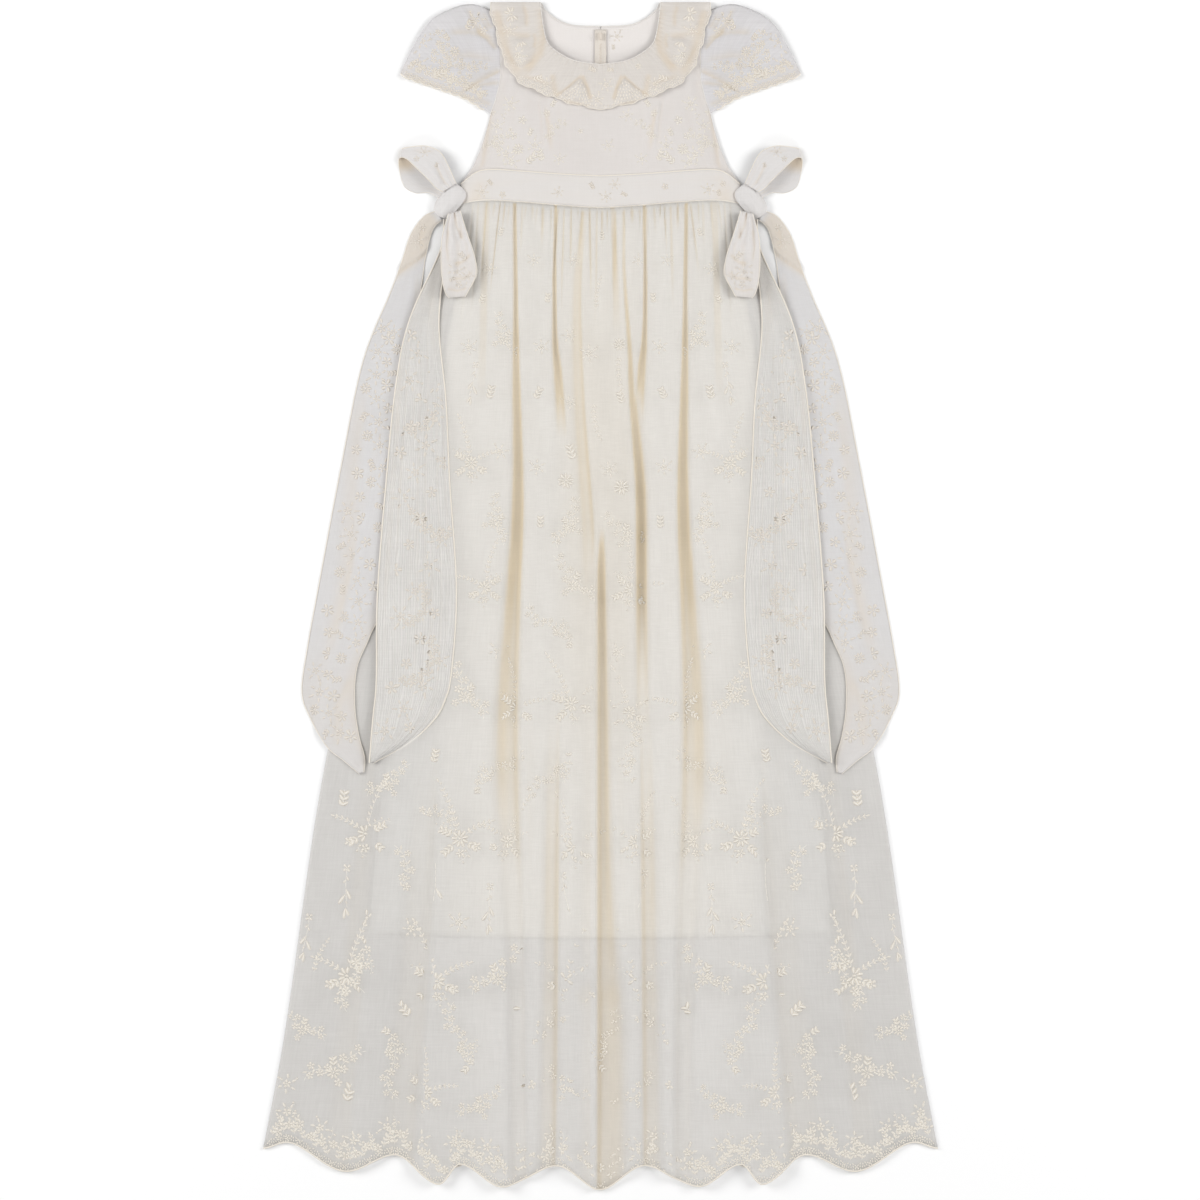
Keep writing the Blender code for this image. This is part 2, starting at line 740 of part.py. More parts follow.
def sleeve_plan(out, down):
    """Point of half a sleeve, seen from above.

    out goes from the armhole to the scalloped hem, down from the shoulder fold to the underarm.
    """
    armhole_height = blend(ARMHOLE_TOP, UNDERARM, down)
    armhole = Point(bodice_half(armhole_height) + SEAM, armhole_height)
    hem = path_point(SLEEVE_HEM, down)
    scallop = SLEEVE_SCALLOP_DEPTH * abs(math.sin(math.pi * SLEEVE_SCALLOPS * down))
    hem = Point(hem.across, hem.height - scallop)
    fold = path_point(SLEEVE_FOLD, out)
    armhole_end = Point(bodice_half(UNDERARM) + SEAM, UNDERARM)
    underarm = Point(blend(armhole_end.across, SLEEVE_HEM[-1].across, out),
                     blend(armhole_end.height, SLEEVE_HEM[-1].height, out))
    values = []
    for axis in (0, 1):
        ruled_out = blend(armhole[axis], hem[axis], out)
        ruled_down = blend(fold[axis], underarm[axis], down)
        near = blend(SLEEVE_FOLD[0][axis], armhole_end[axis], down)
        far = blend(SLEEVE_FOLD[-1][axis], SLEEVE_HEM[-1][axis], down)
        values.append(ruled_out + ruled_down - blend(near, far, out))
    return Point(*values)


def sleeve_front_middle(out, down, plan):
    """Middle of the sleeve's upper wall, puffed between the armhole and the hem."""
    base = WALL / 2 + LAYER + back_rise(plan.across, plan.height)
    puff = SLEEVE_PUFF * math.sin(math.pi * out) * (1.0 - down ** 2)
    fold = SLEEVE_FOLD_RISE * (1.0 - smooth_step(0.0, 0.3, down)) * smooth_step(0.0, 0.3, out)
    wave = 0.5 + 0.5 * math.cos(2.0 * math.pi * SLEEVE_GATHERS * down)
    ripple = SLEEVE_GATHER_HEIGHT * wave * smooth_step(0.0, 0.15, out) * (1.0 - out) ** 2
    return base + puff + fold + ripple * (1.0 - down)


def sleeve_point(column, row, side):
    """Rows go from the front underarm up over the shoulder fold and down the back."""
    out = column / SLEEVE_COLUMNS
    fold_row = len(SLEEVE_DOWNS)
    if row == fold_row:
        plan = sleeve_plan(out, 0.0)
        back = WALL / 2 + back_rise(plan.across, plan.height)
        front = sleeve_front_middle(out, 0.0, plan)
        bulge = SLEEVE_FOLD_BULGE * (front - back)
        return side * (plan.across + bulge), plan.height + bulge, (front + back) / 2
    if row < fold_row:
        down = SLEEVE_DOWNS[row]
        plan = sleeve_plan(out, down)
        return side * plan.across, plan.height, sleeve_front_middle(out, down, plan)
    down = SLEEVE_DOWNS[2 * fold_row - row]
    plan = sleeve_plan(out, down)
    return side * plan.across, plan.height, WALL / 2 + back_rise(plan.across, plan.height)


def build_sleeves():
    rows = 2 * len(SLEEVE_DOWNS)
    for side_name, side in SIDES.items():
        cloth("sleeve_" + side_name, SLEEVE_COLUMNS, rows,
              lambda column, row: sleeve_point(column, row, side), CREAM)


def collar_point(column, row):
    """The front flounce, from the left shoulder round the neck to the right shoulder."""
    from_end = min(column, COLLAR_COLUMNS - column)
    side = -1.0 if column < COLLAR_COLUMNS / 2 else 1.0
    middle_column = COLLAR_COLUMNS / 2 - COLLAR_WRAP
    from_centre = abs(column - COLLAR_COLUMNS / 2) / middle_column
    share = min(from_centre, 1.0)
    inner = path_point(FRONT_NECKLINE, share)
    outer = path_point(COLLAR_EDGE, share)
    wave = 0.5 - 0.5 * math.cos(math.pi * COLLAR_WAVES * share)
    out = row / COLLAR_ROWS
    reach = 1.0 + COLLAR_SCALLOP_DEPTH / COLLAR_WIDTH * (wave - 0.5) * out
    across = blend(inner.across, outer.across, out * reach)
    height = blend(inner.height, outer.height, out * reach)
    lie = bodice_middle(across, height) + COLLAR_LIE
    rise = COLLAR_WAVE_HEIGHT * wave * out
    if from_end >= COLLAR_WRAP:
        return side * across, height, lie + rise
    turned = (COLLAR_WRAP - from_end) / COLLAR_WRAP
    top = COLLAR_TOP - WALL / 2
    up = blend(height, top, math.sin(turned * math.pi / 2))
    low = WALL / 2 + LAYER
    drop = blend(lie + rise, low, 1.0 - math.cos(turned * math.pi / 2))
    return side * across, up, drop


def build_collars():
    cloth("collar_front", COLLAR_COLUMNS, COLLAR_ROWS, collar_point, CREAM)
    for side_name, side in SIDES.items():
        def back_point(column, row):
            share = column / BACK_COLLAR_COLUMNS
            inner = path_point(BACK_NECKLINE, share)
            outer = path_point(BACK_COLLAR_EDGE, share)
            wave = 0.5 - 0.5 * math.cos(2.0 * math.pi * BACK_COLLAR_WAVES * share)
            out = row / BACK_COLLAR_ROWS
            reach = 1.0 + COLLAR_SCALLOP_DEPTH / COLLAR_WIDTH * (wave - 0.5) * out
            across = max(blend(inner.across, outer.across, out * reach), SEAM / 2)
            height = blend(inner.height, outer.height, out * reach)
            wrapped = smooth_step(0.9, 1.0, share)
            return side * across, blend(height, COLLAR_TOP - WALL / 2, wrapped), WALL / 2

        cloth("collar_back_" + side_name, BACK_COLLAR_COLUMNS, BACK_COLLAR_ROWS, back_point, CREAM)


def ribbon_plan(rows, share_along, share_across):
    """Point of a ribbon: along its length, and across from its outer to its inner rim."""
    stations = [index / (len(rows) - 1) for index in range(len(rows))]
    values = [smooth_table(stations, [row[part] for row in rows], share_along) for part in range(4)]
    return Point(blend(values[0], values[2], share_across), blend(values[1], values[3], share_across))


def inner_rim(rows, height):
    """Distance of a tail's inner rim from the centre line, at a height."""
    rows = sorted(rows, key=lambda row: row.inner_height)
    return smooth_table([row.inner_height for row in rows], [row.inner_across for row in rows], height)


def knot_exit(plan):
    """Extra height of a ribbon where it comes out of the knot."""
    distance = math.hypot(plan.across - KNOT_CENTRE[0], plan.height - KNOT_CENTRE[1])
    return KNOT_EXIT_RISE * (1.0 - smooth_step(*KNOT_EXIT_SPAN, distance))


def outer_tail_middle(plan):
    return ribbon_rest(plan.across, plan.height) + knot_exit(plan)


def inner_tail_middle(plan):
    """The inner tail lies over the outer tail's inner rim."""
    past_rim = inner_rim(OUTER_TAIL, plan.height) - plan.across
    on_outer = max(1.0 - smooth_step(*TAIL_OVERLAP, past_rim), smooth_step(*TAIL_MEET, plan.height))
    rest = ribbon_rest(plan.across, plan.height)
    return rest + RIBBON_LAYER * on_outer + knot_exit(plan)


def lower_loop_middle(plan, rise):
    """The lower loop lies over the inner tail's inner rim."""
    past_rim = inner_rim(INNER_TAIL, plan.height) - plan.across
    on_tail = 1.0 - smooth_step(*LOOP_OVERLAP, past_rim)
    return ribbon_rest(plan.across, plan.height) + 2.0 * RIBBON_LAYER * on_tail + rise


def build_tails(side_name, side):
    for name, rows, middle in (("outer", OUTER_TAIL, outer_tail_middle),
                               ("inner", INNER_TAIL, inner_tail_middle)):
        def tail_point(column, row):
            plan = ribbon_plan(rows, row / TAIL_ROWS, column / TAIL_COLUMNS)
            return side * plan.across, plan.height, middle(plan)

        cloth("sash_tail_%s_%s" % (name, side_name), TAIL_COLUMNS, TAIL_ROWS, tail_point, VOILE)


def build_loops(side_name, side):
    for name, rows in (("upper", UPPER_LOOP), ("lower", LOWER_LOOP)):
        stations = [index / (len(rows) - 1) for index in range(len(rows))]
        rises = [row.rise for row in rows]

        def loop_point(column, row):
            share = row / LOOP_ROWS
            plan = ribbon_plan(rows, share, column / LOOP_COLUMNS)
            rise = smooth_table(stations, rises, share)
            if name == "upper":
                return side * plan.across, plan.height, WALL / 2 + max(rise, 0.0)
            return side * plan.across, plan.height, lower_loop_middle(plan, rise)

        cloth("sash_loop_%s_%s" % (name, side_name), LOOP_COLUMNS, LOOP_ROWS, loop_point, VOILE)


def build_knot(side_name, side):
    """The knot is a small pinched bundle, flat where it rests, with creases round it."""
    shape = bmesh.new()
    bmesh.ops.create_uvsphere(shape, u_segments=16, v_segments=10, radius=0.5)
    cosine = math.cos(KNOT_TILT)
    sine = math.sin(KNOT_TILT)
    for vert in shape.verts:
        around = math.atan2(vert.co.z, vert.co.y)
        pinch = 1.0 + KNOT_CREASE_DEPTH * math.cos(KNOT_CREASES * around)
        along = vert.co.x * KNOT_LENGTH
        wide = vert.co.y * KNOT_WIDTH * pinch
        across = KNOT_CENTRE[0] - along * cosine + wide * sine
        seat = KNOT_SEAT * (1.0 - smooth_step(*KNOT_SEAT_SPAN, across - BAND_HALF))
        tall = max((vert.co.z + KNOT_WAIST) * KNOT_HEIGHT, seat)
        height = KNOT_CENTRE[1] + along * sine + wide * cosine
        vert.co = Vector((side * across, height, tall)) * MM
    shape.normal_update()
    bmesh.ops.recalc_face_normals(shape, faces=shape.faces)
    mesh = bpy.data.meshes.new("sash_knot_" + side_name)
    shape.to_mesh(mesh)
    shape.free()
    add_object("sash_knot_" + side_name, mesh, VOILE)


def build_zip():
    """Tape on the inner face of the back panels, with the coil's ridge along its middle."""
    stops = [-ZIP_WIDTH / 2, -COIL_WIDTH, -COIL_WIDTH / 2, COIL_WIDTH / 2, COIL_WIDTH, ZIP_WIDTH / 2]

    def zip_point(column, row):
        across = stops[column]
        height = blend(ZIP_BOTTOM, ZIP_TOP, row / ZIP_ROWS)
        ridge = COIL_HEIGHT if abs(across) <= COIL_WIDTH / 2 else 0.0
        return across, height, WALL / 2 + LAYER + back_rise(across, height) + ridge

    cloth("back_zip", len(stops) - 1, ZIP_ROWS, zip_point, ZIP_BEIGE, ZIP_ROUGHNESS)
    width, length, thickness = SLIDER_SIZE
    seat = 3 * LAYER + COIL_HEIGHT + LAY
    middle = ZIP_TOP - length
    shape = bmesh.new()
    bmesh.ops.create_cube(shape, size=1.0)
    bmesh.ops.scale(shape, verts=shape.verts, vec=Vector((width, length, thickness)) * MM)
    bmesh.ops.translate(shape, verts=shape.verts,
                        vec=Vector((0.0, middle, seat + thickness / 2)) * MM)
    upright = [edge for edge in shape.edges if abs(edge.verts[0].co.z - edge.verts[1].co.z) > MM]
    bmesh.ops.bevel(shape, geom=upright, offset=SLIDER_ROUNDING * MM, segments=3, profile=0.5,
                    affect="EDGES", material=-1)
    mesh = bpy.data.meshes.new("zip_slider")
    shape.to_mesh(mesh)
    shape.free()
    add_object("zip_slider", mesh, ZIP_BEIGE, ZIP_ROUGHNESS)


def clear_scene():
    for item in list(bpy.data.objects):
        bpy.data.objects.remove(item, do_unlink=True)


def main():
    clear_scene()
    build_skirts()
    build_linings()
    build_waistbands()
    build_bodices()
    build_sleeves()
    build_collars()
    build_zip()
    for side_name, side in SIDES.items():
        build_knot(side_name, side)
        build_loops(side_name, side)
        build_tails(side_name, side)


main()
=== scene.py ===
"""Christening gown laid flat on its back: cloth, embroidery, cords, stitching and zip.

Frame: +Z up, +Y towards the neck, +X to the right of the front. Sizes in the tables are in
millimetres, and MM turns them into metres when a mesh is placed. Paired pieces are given on the
right side, by distance from the centre line, and Side sets the sign.
"""
import json
import logging
import math
from collections.abc import Callable, Sequence
from dataclasses import dataclass, field
from enum import Enum
from functools import partialmethod

import bmesh
import bpy
import numpy as np
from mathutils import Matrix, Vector
from mathutils.kdtree import KDTree

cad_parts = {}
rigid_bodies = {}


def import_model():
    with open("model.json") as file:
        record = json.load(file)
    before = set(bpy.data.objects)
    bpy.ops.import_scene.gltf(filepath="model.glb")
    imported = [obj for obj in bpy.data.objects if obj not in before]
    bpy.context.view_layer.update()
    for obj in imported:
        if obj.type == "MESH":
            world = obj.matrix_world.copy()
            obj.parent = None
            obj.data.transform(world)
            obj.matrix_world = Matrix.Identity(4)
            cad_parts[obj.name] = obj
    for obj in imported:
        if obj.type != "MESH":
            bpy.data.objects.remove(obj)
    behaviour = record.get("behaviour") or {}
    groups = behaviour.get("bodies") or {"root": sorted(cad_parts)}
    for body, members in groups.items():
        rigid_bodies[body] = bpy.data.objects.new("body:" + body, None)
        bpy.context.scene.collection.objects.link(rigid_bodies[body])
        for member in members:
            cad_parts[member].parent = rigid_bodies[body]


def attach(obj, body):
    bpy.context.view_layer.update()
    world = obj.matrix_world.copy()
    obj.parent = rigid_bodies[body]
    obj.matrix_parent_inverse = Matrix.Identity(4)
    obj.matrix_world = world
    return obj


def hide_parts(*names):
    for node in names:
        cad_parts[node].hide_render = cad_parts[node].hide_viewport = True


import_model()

LOG = logging.getLogger("christening_gown")
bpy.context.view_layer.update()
MM = 0.001
Array = np.ndarray
Pair = tuple[float, float]
Numbers = tuple[float, ...]
Arrays = tuple[Array, ...]
Tree, Socket, Mesh, Piece = bpy.types.NodeTree, bpy.types.NodeSocket, bpy.types.Mesh, bpy.types.Object


class Side(Enum):
    """Which side of the centre line a paired piece lies on."""

    LEFT = -1
    RIGHT = 1

    @property
    def label(self) -> str:
        """The side's name as the nodes have it."""
        return self.name.lower()


class Stitch(Enum):
    """Outline of one satin-stitched shape, by its width at six stations along it."""

    LEAF = (0, 0.62, 1, 0.92, 0.5, 0)
    PETAL = (0, 0.5, 0.86, 1, 0.84, 0)
    STEM = (0, 0.9, 1, 1, 0.9, 0)
    DROP = (0, 0.34, 0.72, 1, 0.8, 0)


def ease(start: float, stop: float, value: Array) -> Array:
    """Rises softly from 0 at start to 1 at stop."""
    share = np.clip((np.asarray(value, float) - start) / (stop - start), 0, 1)
    return share * share * (3 - 2 * share)


def blend(first: Array, second: Array, share: Array) -> Array:
    """The value that lies a share of the way from first to second."""
    return first + (second - first) * share


def bump(value: Array, centre: Array, left: Array, right: Array, power: float = 2) -> Array:
    """A rounded ridge that is 1 at its centre, with a half width for each flank."""
    offset = np.asarray(value) - centre
    return np.exp(-(np.abs(offset) / np.where(offset < 0, left, right)) ** power)


@dataclass(frozen=True)
class Profile:
    """A smooth curve through stations: where each one is, and the value there."""

    at: Numbers
    value: Numbers

    def read(self, place: Array) -> Array:
        """Reads the curve.

        Args:
            place: where to read it, level past the first and the last station.

        Returns:
            The value at each place.
        """
        at = np.asarray(self.at)
        value = np.asarray(self.value)
        place = np.clip(np.asarray(place, float), at[0], at[-1])
        index = np.clip(np.searchsorted(at, place, side="right") - 1, 0, len(at) - 2)
        before = np.maximum(np.arange(len(at)) - 1, 0)
        after = np.minimum(np.arange(len(at)) + 1, len(at) - 1)
        slope = (value[after] - value[before]) / (at[after] - at[before])
        span = at[index + 1] - at[index]
        share = (place - at[index]) / span
        square, cube = share**2, share**3
        return (value[index] * (2 * cube - 3 * square + 1) + slope[index] * span * (cube - 2 * square + share)
            + value[index + 1] * (3 * square - 2 * cube) + slope[index + 1] * span * (cube - square))


@dataclass(frozen=True)
class Route:
    """A smooth line through points of the plan, by distance from the centre line and height."""

    across: Numbers
    height: Numbers

    def point(self, share: Array) -> Arrays:
        """Point a share of the way along the line."""
        steps = np.hypot(np.diff(self.across), np.diff(self.height))
        stations = tuple(np.concatenate([[0], np.cumsum(steps)]))
        at = np.asarray(share, float) * stations[-1]
        return Profile(stations, self.across).read(at), Profile(stations, self.height).read(at)


@dataclass(frozen=True)
class Fold:
    """One trough between two folds: its course down the gown, its flanks and its depth."""

    height: Numbers
    across: Numbers
    left: Numbers
    right: Numbers
    depth: Numbers

    def share(self, x: Array, y: Array) -> Array:
        """Share of the crest that the trough takes away at a point.

        Args:
            x: distance from the centre line.
            y: height up the gown.

        Returns:
            The share, 0 beyond the trough's ends.
        """
        up = tuple(self.height[::-1])
        columns = self.across, self.left, self.right, self.depth
        centre, left, right, depth = (Profile(up, tuple(column[::-1])).read(y) for column in columns)
        inside = (y <= self.height[0] + 0.01) & (y >= self.height[-1] - 0.01)
        return np.where(inside, depth, 0) * bump(x, centre, left, right, 4.5)


@dataclass(frozen=True)
class Crease:
    """A ridge, or a trough where its rise is below 0, along a line of the plan.

    left and right are its half widths on either side of the line's direction.
    """

    line: tuple[Pair, ...]
    rise: float
    left: float
    right: float
    fade: float = 0.3

    def lift(self, x: Array, y: Array) -> Array:
        """Its height over the cloth at points of the plan.

        Args:
            x: distance from the centre line.
            y: height up the gown.

        Returns:
            The height, below 0 in a trough.
        """
        line = np.array(self.line)
        steps = np.hypot(*np.diff(line, axis=0).T)
        gone = np.concatenate([[0], np.cumsum(steps)])
        nearest = np.full(np.shape(x), np.inf)
        offset, share = np.zeros(np.shape(x)), np.zeros(np.shape(x))
        for index, step in enumerate(steps):
            start, (dx, dy) = line[index], (line[index + 1] - line[index]) / step
            along = np.clip((x - start[0]) * dx + (y - start[1]) * dy, 0, step)
            px, py = x - start[0] - along * dx, y - start[1] - along * dy
            closer = np.hypot(px, py) < nearest
            nearest = np.where(closer, np.hypot(px, py), nearest)
            offset = np.where(closer, dx * py - dy * px, offset)
            share = np.where(closer, (gone[index] + along) / gone[-1], share)
        ends = ease(-0.02, self.fade, share) * (1 - ease(1 - self.fade, 1.02, share))
        return self.rise * ends * np.exp(-((nearest / np.where(offset > 0, self.left, self.right)) ** 2))


def crease_rows(*rows: tuple) -> tuple[Crease, ...]:
    """Makes a crease from each row: its line's numbers, rise, left, right and fade."""
    return tuple(Crease(tuple(zip(line[::2], line[1::2])), *rest) for line, *rest in rows)


def relief(creases: Sequence[Crease], x: Array, y: Array) -> Arrays:
    """Height of all the creases together, and how deep their troughs are."""
    lifts = [crease.lift(x, y) for crease in creases]
    return sum(lifts), -sum(np.minimum(lift, 0) for lift in lifts)


SIDE_DOWN = (352, 260, 200, 85, -5, -95, -185, -275, -365, -540)
SIDE_OUT = (77, 76, 75, 73.5, 77, 80.5, 80, 76, 73, 72)
SIDE_FAR = (2, 2.4, 4, 6, 9, 13, 15, 12, 10, 9)
SIDE_NEAR = (1.8, 2.2, 3, 5, 6, 7.5, 8, 7, 6, 6)
SIDE_DEPTH = (0.6, 0.7, 0.8, 0.83, 0.84, 0.83, 0.7, 0.6, 0.55, 0.5)
LOW_DOWN = (-100, -260, -400, -540)
SLIT_DOWN = (352, 270, 225, 205, 175, 140)
FOLDS = (
    Fold((352, 330, 215, 170), (-102, -103, -106, -107), (3, 3, 4, 5), (3, 3, 4, 4), (0.3, 0.35, 0.15, 0)),
    Fold(SIDE_DOWN, tuple(-x for x in SIDE_OUT), SIDE_FAR, SIDE_NEAR, SIDE_DEPTH),
    Fold(SLIT_DOWN, (-40, -41, -40, -38, -36, -34), (1.8, 2.2, 3.5, 4.5, 5, 6), (1.4, 1.6, 2.2, 3, 4, 5),
         (0.5, 0.7, 0.9, 0.9, 0.5, 0)),
    Fold((345, 280, 180, 60, -20), (-13, -19, -17, -9, -7), (4, 6, 8, 9, 10), (2, 2.5, 3, 4, 5),
         (0.15, 0.28, 0.3, 0.25, 0)),
    Fold((60, 20, -100, -250, -400, -540), (1, 0.5, 0.5, 0, 0.5, 0), (2.5, 3.5, 4, 3.5, 4, 4),
         (3, 4.5, 7, 11, 20, 22), (0, 0.7, 0.8, 0.9, 0.95, 0.8)),
    Fold((352, 300, 230), (10, 12, 14), (1.6, 1.8, 3), (3, 4, 5), (0.3, 0.35, 0)),
    Fold((345, 290, 219, 176, 129, 85, -5, -60, -130), (20, 21, 26, 28, 32, 35.5, 36.5, 37.5, 38),
         (1.5, 1.5, 2, 2.5, 3, 4, 5, 6, 7), (1.5, 2, 2.5, 4, 6, 6, 6, 6, 7),
         (0.1, 0.25, 0.4, 0.6, 0.85, 1, 0.85, 0.5, 0)),
    Fold(SLIT_DOWN, (39, 40, 38.5, 36.5, 35, 33), (1.4, 1.6, 2.2, 3, 4, 5), (1.8, 2.2, 3.5, 4.5, 5, 6),
         (0.5, 0.7, 0.85, 0.85, 0.4, 0)),
    Fold(SIDE_DOWN, SIDE_OUT, SIDE_NEAR, SIDE_FAR, SIDE_DEPTH),
    Fold((352, 330, 215, 170), (102, 103, 106, 107), (3, 3, 4, 4), (3, 3, 4, 5), (0.3, 0.35, 0.15, 0)),
    Fold(LOW_DOWN, (-40, -41, -43, -46), (9, 10, 11, 11), (4, 4, 5, 6), (0, 0.5, 0.6, 0.5)),
    Fold(LOW_DOWN, (38, 40, 42, 44), (4, 4, 5, 6), (9, 10, 11, 11), (0, 0.5, 0.6, 0.5)),
    Fold(LOW_DOWN, (-150, -158, -168, -180), (16, 18, 20, 22), (8, 9, 10, 11), (0, 0.7, 0.8, 0.7)),
    Fold(LOW_DOWN, (148, 156, 170, 182), (8, 9, 10, 11), (16, 18, 20, 22), (0, 0.7, 0.8, 0.7)),
    Fold(LOW_DOWN, (-205, -214, -226, -238), (10, 11, 12, 12), (8, 8, 9, 10), (0, 0.7, 0.75, 0.6)),
    Fold(LOW_DOWN, (203, 213, 228, 240), (8, 8, 9, 10), (10, 11, 12, 12), (0, 0.7, 0.75, 0.6)),
)
BODICE_CREASES = crease_rows(
    ((54, 446, 50.5, 428, 47.5, 398), 1.3, 1.2, 9, 0.2), ((50.5, 440, 47.5, 420, 45, 398), -0.8, 1.2, 3, 0.25),
    ((70, 462, 72, 440, 70, 420), 0.8, 5, 6), ((98, 440, 101, 420, 104, 402, 107, 380), -0.5, 1.6, 3.5, 0.15),
    ((95, 442, 98.5, 420, 101, 400, 104, 382), 0.5, 1.5, 5, 0.12), ((84, 470, 82, 456, 79, 446), 0.7, 3.5, 5))


@dataclass(frozen=True)
class GownForm:
    """The laid gown's outline and the heights of its layers, as its solids have them."""

    wall: float = 1
    lay: float = 0.3
    seam: float = 0.3
    back_lie: float = 0.3
    ribbon_gap: float = 1.5
    ribbon_reach: float = 6
    shoulder_top: float = 530
    armhole_top: float = 525
    underarm: float = 432.5
    neck_half: float = 54
    shoulder_half: float = 98
    band_half: float = 125.6
    band_side_top: float = 369.3
    waist_line: float = 347
    hem_line: float = -498
    lining_hem: float = -304
    lining_sag: float = 5
    lining_waist: float = 116
    lining_width: float = 209
    edge_ramp: float = 14
    skirt_edge: Profile = Profile((-498, -400.5, -148.5, 94.5, 351), (303.3, 285, 247, 189.5, 128))
    side_fold: Profile = Profile((-510, -285, -100, 99, 178, 351), (90, 87, 80, 75, 73, 76))
    bodice_edge: tuple[Numbers, Numbers] = (
        (369.3, 384, 401, 421.7, 432.5, 445, 462, 487, 505, 525),
        (125.6, 114.8, 107.6, 101.3, 98.6, 94.1, 89.8, 89.6, 92.5, 98))
    band_top: Profile = Profile((0, 36.5, 72.5, 97.7, 110.5, 125.6), (375.8, 377.6, 380.3, 381.8, 379.8, 369.3))
    waist: Profile = Profile((0, 22, 72.5, 106, 130), (347, 348, 352.3, 354, 350.5))
    crest: Profile = Profile((-535, -300, -150, 100, 300, 351, 400, 530), (5.5, 7, 8, 8, 6.5, 3.2, 2.5, 2))
    hem_turns: Numbers = (0, 38, 88.5, 126.5, 144.5, 185, 229, 284, 303.3)
    hem_heights: Numbers = (-535, -513, -531.5, -511.5, -529.5, -503.5, -518.5, -492.5, -498)

    @property
    def layer(self) -> float:
        """Height of one layer of the stack."""
        return self.wall + self.lay

    @property
    def stack(self) -> float:
        """Height of the two linings that lie inside."""
        return 2 * self.layer + 0.3

    @property
    def front_lie(self) -> float:
        """Middle of a front wall that lies straight on the back one."""
        return self.wall / 2 + self.layer

    def hem(self, x: Array) -> Array:
        """Height of the scalloped hem, rounded at every lobe and notch."""
        turns, heights = np.asarray(self.hem_turns), np.asarray(self.hem_heights)
        at = np.clip(np.abs(x), 0, turns[-1])
        index = np.clip(np.searchsorted(turns, at, side="right"), 1, len(turns) - 1)
        share = (at - turns[index - 1]) / (turns[index] - turns[index - 1])
        return blend(heights[index - 1], heights[index], ease(0, 1, share))

    def bodice_half(self, y: Array) -> Array:
        """Half width of the bodice, straight between its points."""
        return np.interp(y, self.bodice_edge[0], self.bodice_edge[1])

    def lining_half(self, y: Array) -> Array:
        """Half width of the lining."""
        share = (self.waist_line - y) / (self.waist_line - self.lining_hem)
        return blend(self.lining_waist, self.lining_width, share) + 9 * np.sin(math.pi * np.clip(share, 0, 1))

    def lining_bottom(self, x: Array) -> Array:
        """Height of the lining's hem, which hangs a little lower in the middle."""
        return self.lining_hem - self.lining_sag * (1 - (x / self.lining_width) ** 2)

    def skirt_across(self, share: Array, y: Array) -> Array:
        """Where a line of the skirt runs at a height: share goes from -1 to 1 across it."""
        fold, half = self.side_fold.read(y), self.skirt_edge.read(y)
        outer = np.sign(share) * blend(fold, half, (np.abs(share) - 0.5) / 0.5)
        return np.where(np.abs(share) <= 0.5, fold * share / 0.5, outer)

    def skirt_share(self, x: Array, y: Array) -> Array:
        """The line of the skirt that runs through a point, from -1 to 1."""
        fold, half = self.side_fold.read(y), self.skirt_edge.read(y)
        outer = np.sign(x) * (0.5 + 0.5 * (np.abs(x) - fold) / (half - fold))
        return np.where(np.abs(x) <= fold, 0.5 * x / fold, outer)

    def skirt_ends(self, share: Array) -> Arrays:
        """Heights of the waist seam and of the hem where a line of the skirt meets them."""
        at_waist, at_hem = (self.skirt_across(share, y) for y in (self.waist_line, self.hem_line))
        return self.waist.read(np.abs(at_waist)), self.hem(at_hem)

    def troughs(self, folds: Sequence[Fold], x: Array, y: Array) -> Array:
        """Share of the crest that all the folds leave at a point."""
        left = np.ones(np.broadcast(x, y).shape)
        for fold in folds:
            left = left * (1 - fold.share(x, y))
        return left

    def edge_share(self, x: Array, half: Array) -> Array:
        """1 over the middle of a panel, softly down to 0 at its side edge."""
        return 1 - ease(0.45, 1, np.abs(x) / half)

    def gathers(self, x: Array, y: Array) -> Array:
        """How deep the small uneven gathers are that run down from the waist seam and fade.

        Args:
            x: distance from the centre line.
            y: height up the gown.

        Returns:
            Depth below the crest.
        """
        down = self.waist.read(np.abs(x)) - y
        rng = np.random.default_rng(11)
        dip = np.zeros(np.broadcast(x, y).shape)
        place = -118
        while place < 118:
            length = rng.uniform(70, 125) if rng.random() < 0.3 else rng.uniform(14, 55)
            width, deep, lean = rng.uniform(0.7, 1.3), rng.uniform(0.9, 1.9), rng.uniform(-0.06, 0.06)
            centre = place * (1 + 0.0009 * down) + lean * down
            fade = 1 - ease(0.25 * length, length, down)
            dip = dip + deep * fade * bump(x, centre, width, width * rng.uniform(0.9, 2.4))
            place += rng.uniform(3.2, 8)
        dip = dip * ease(-0.5, 4, down)
        return dip * (1 - ease(112, 124, np.abs(x) / (1 + 0.0012 * down)))

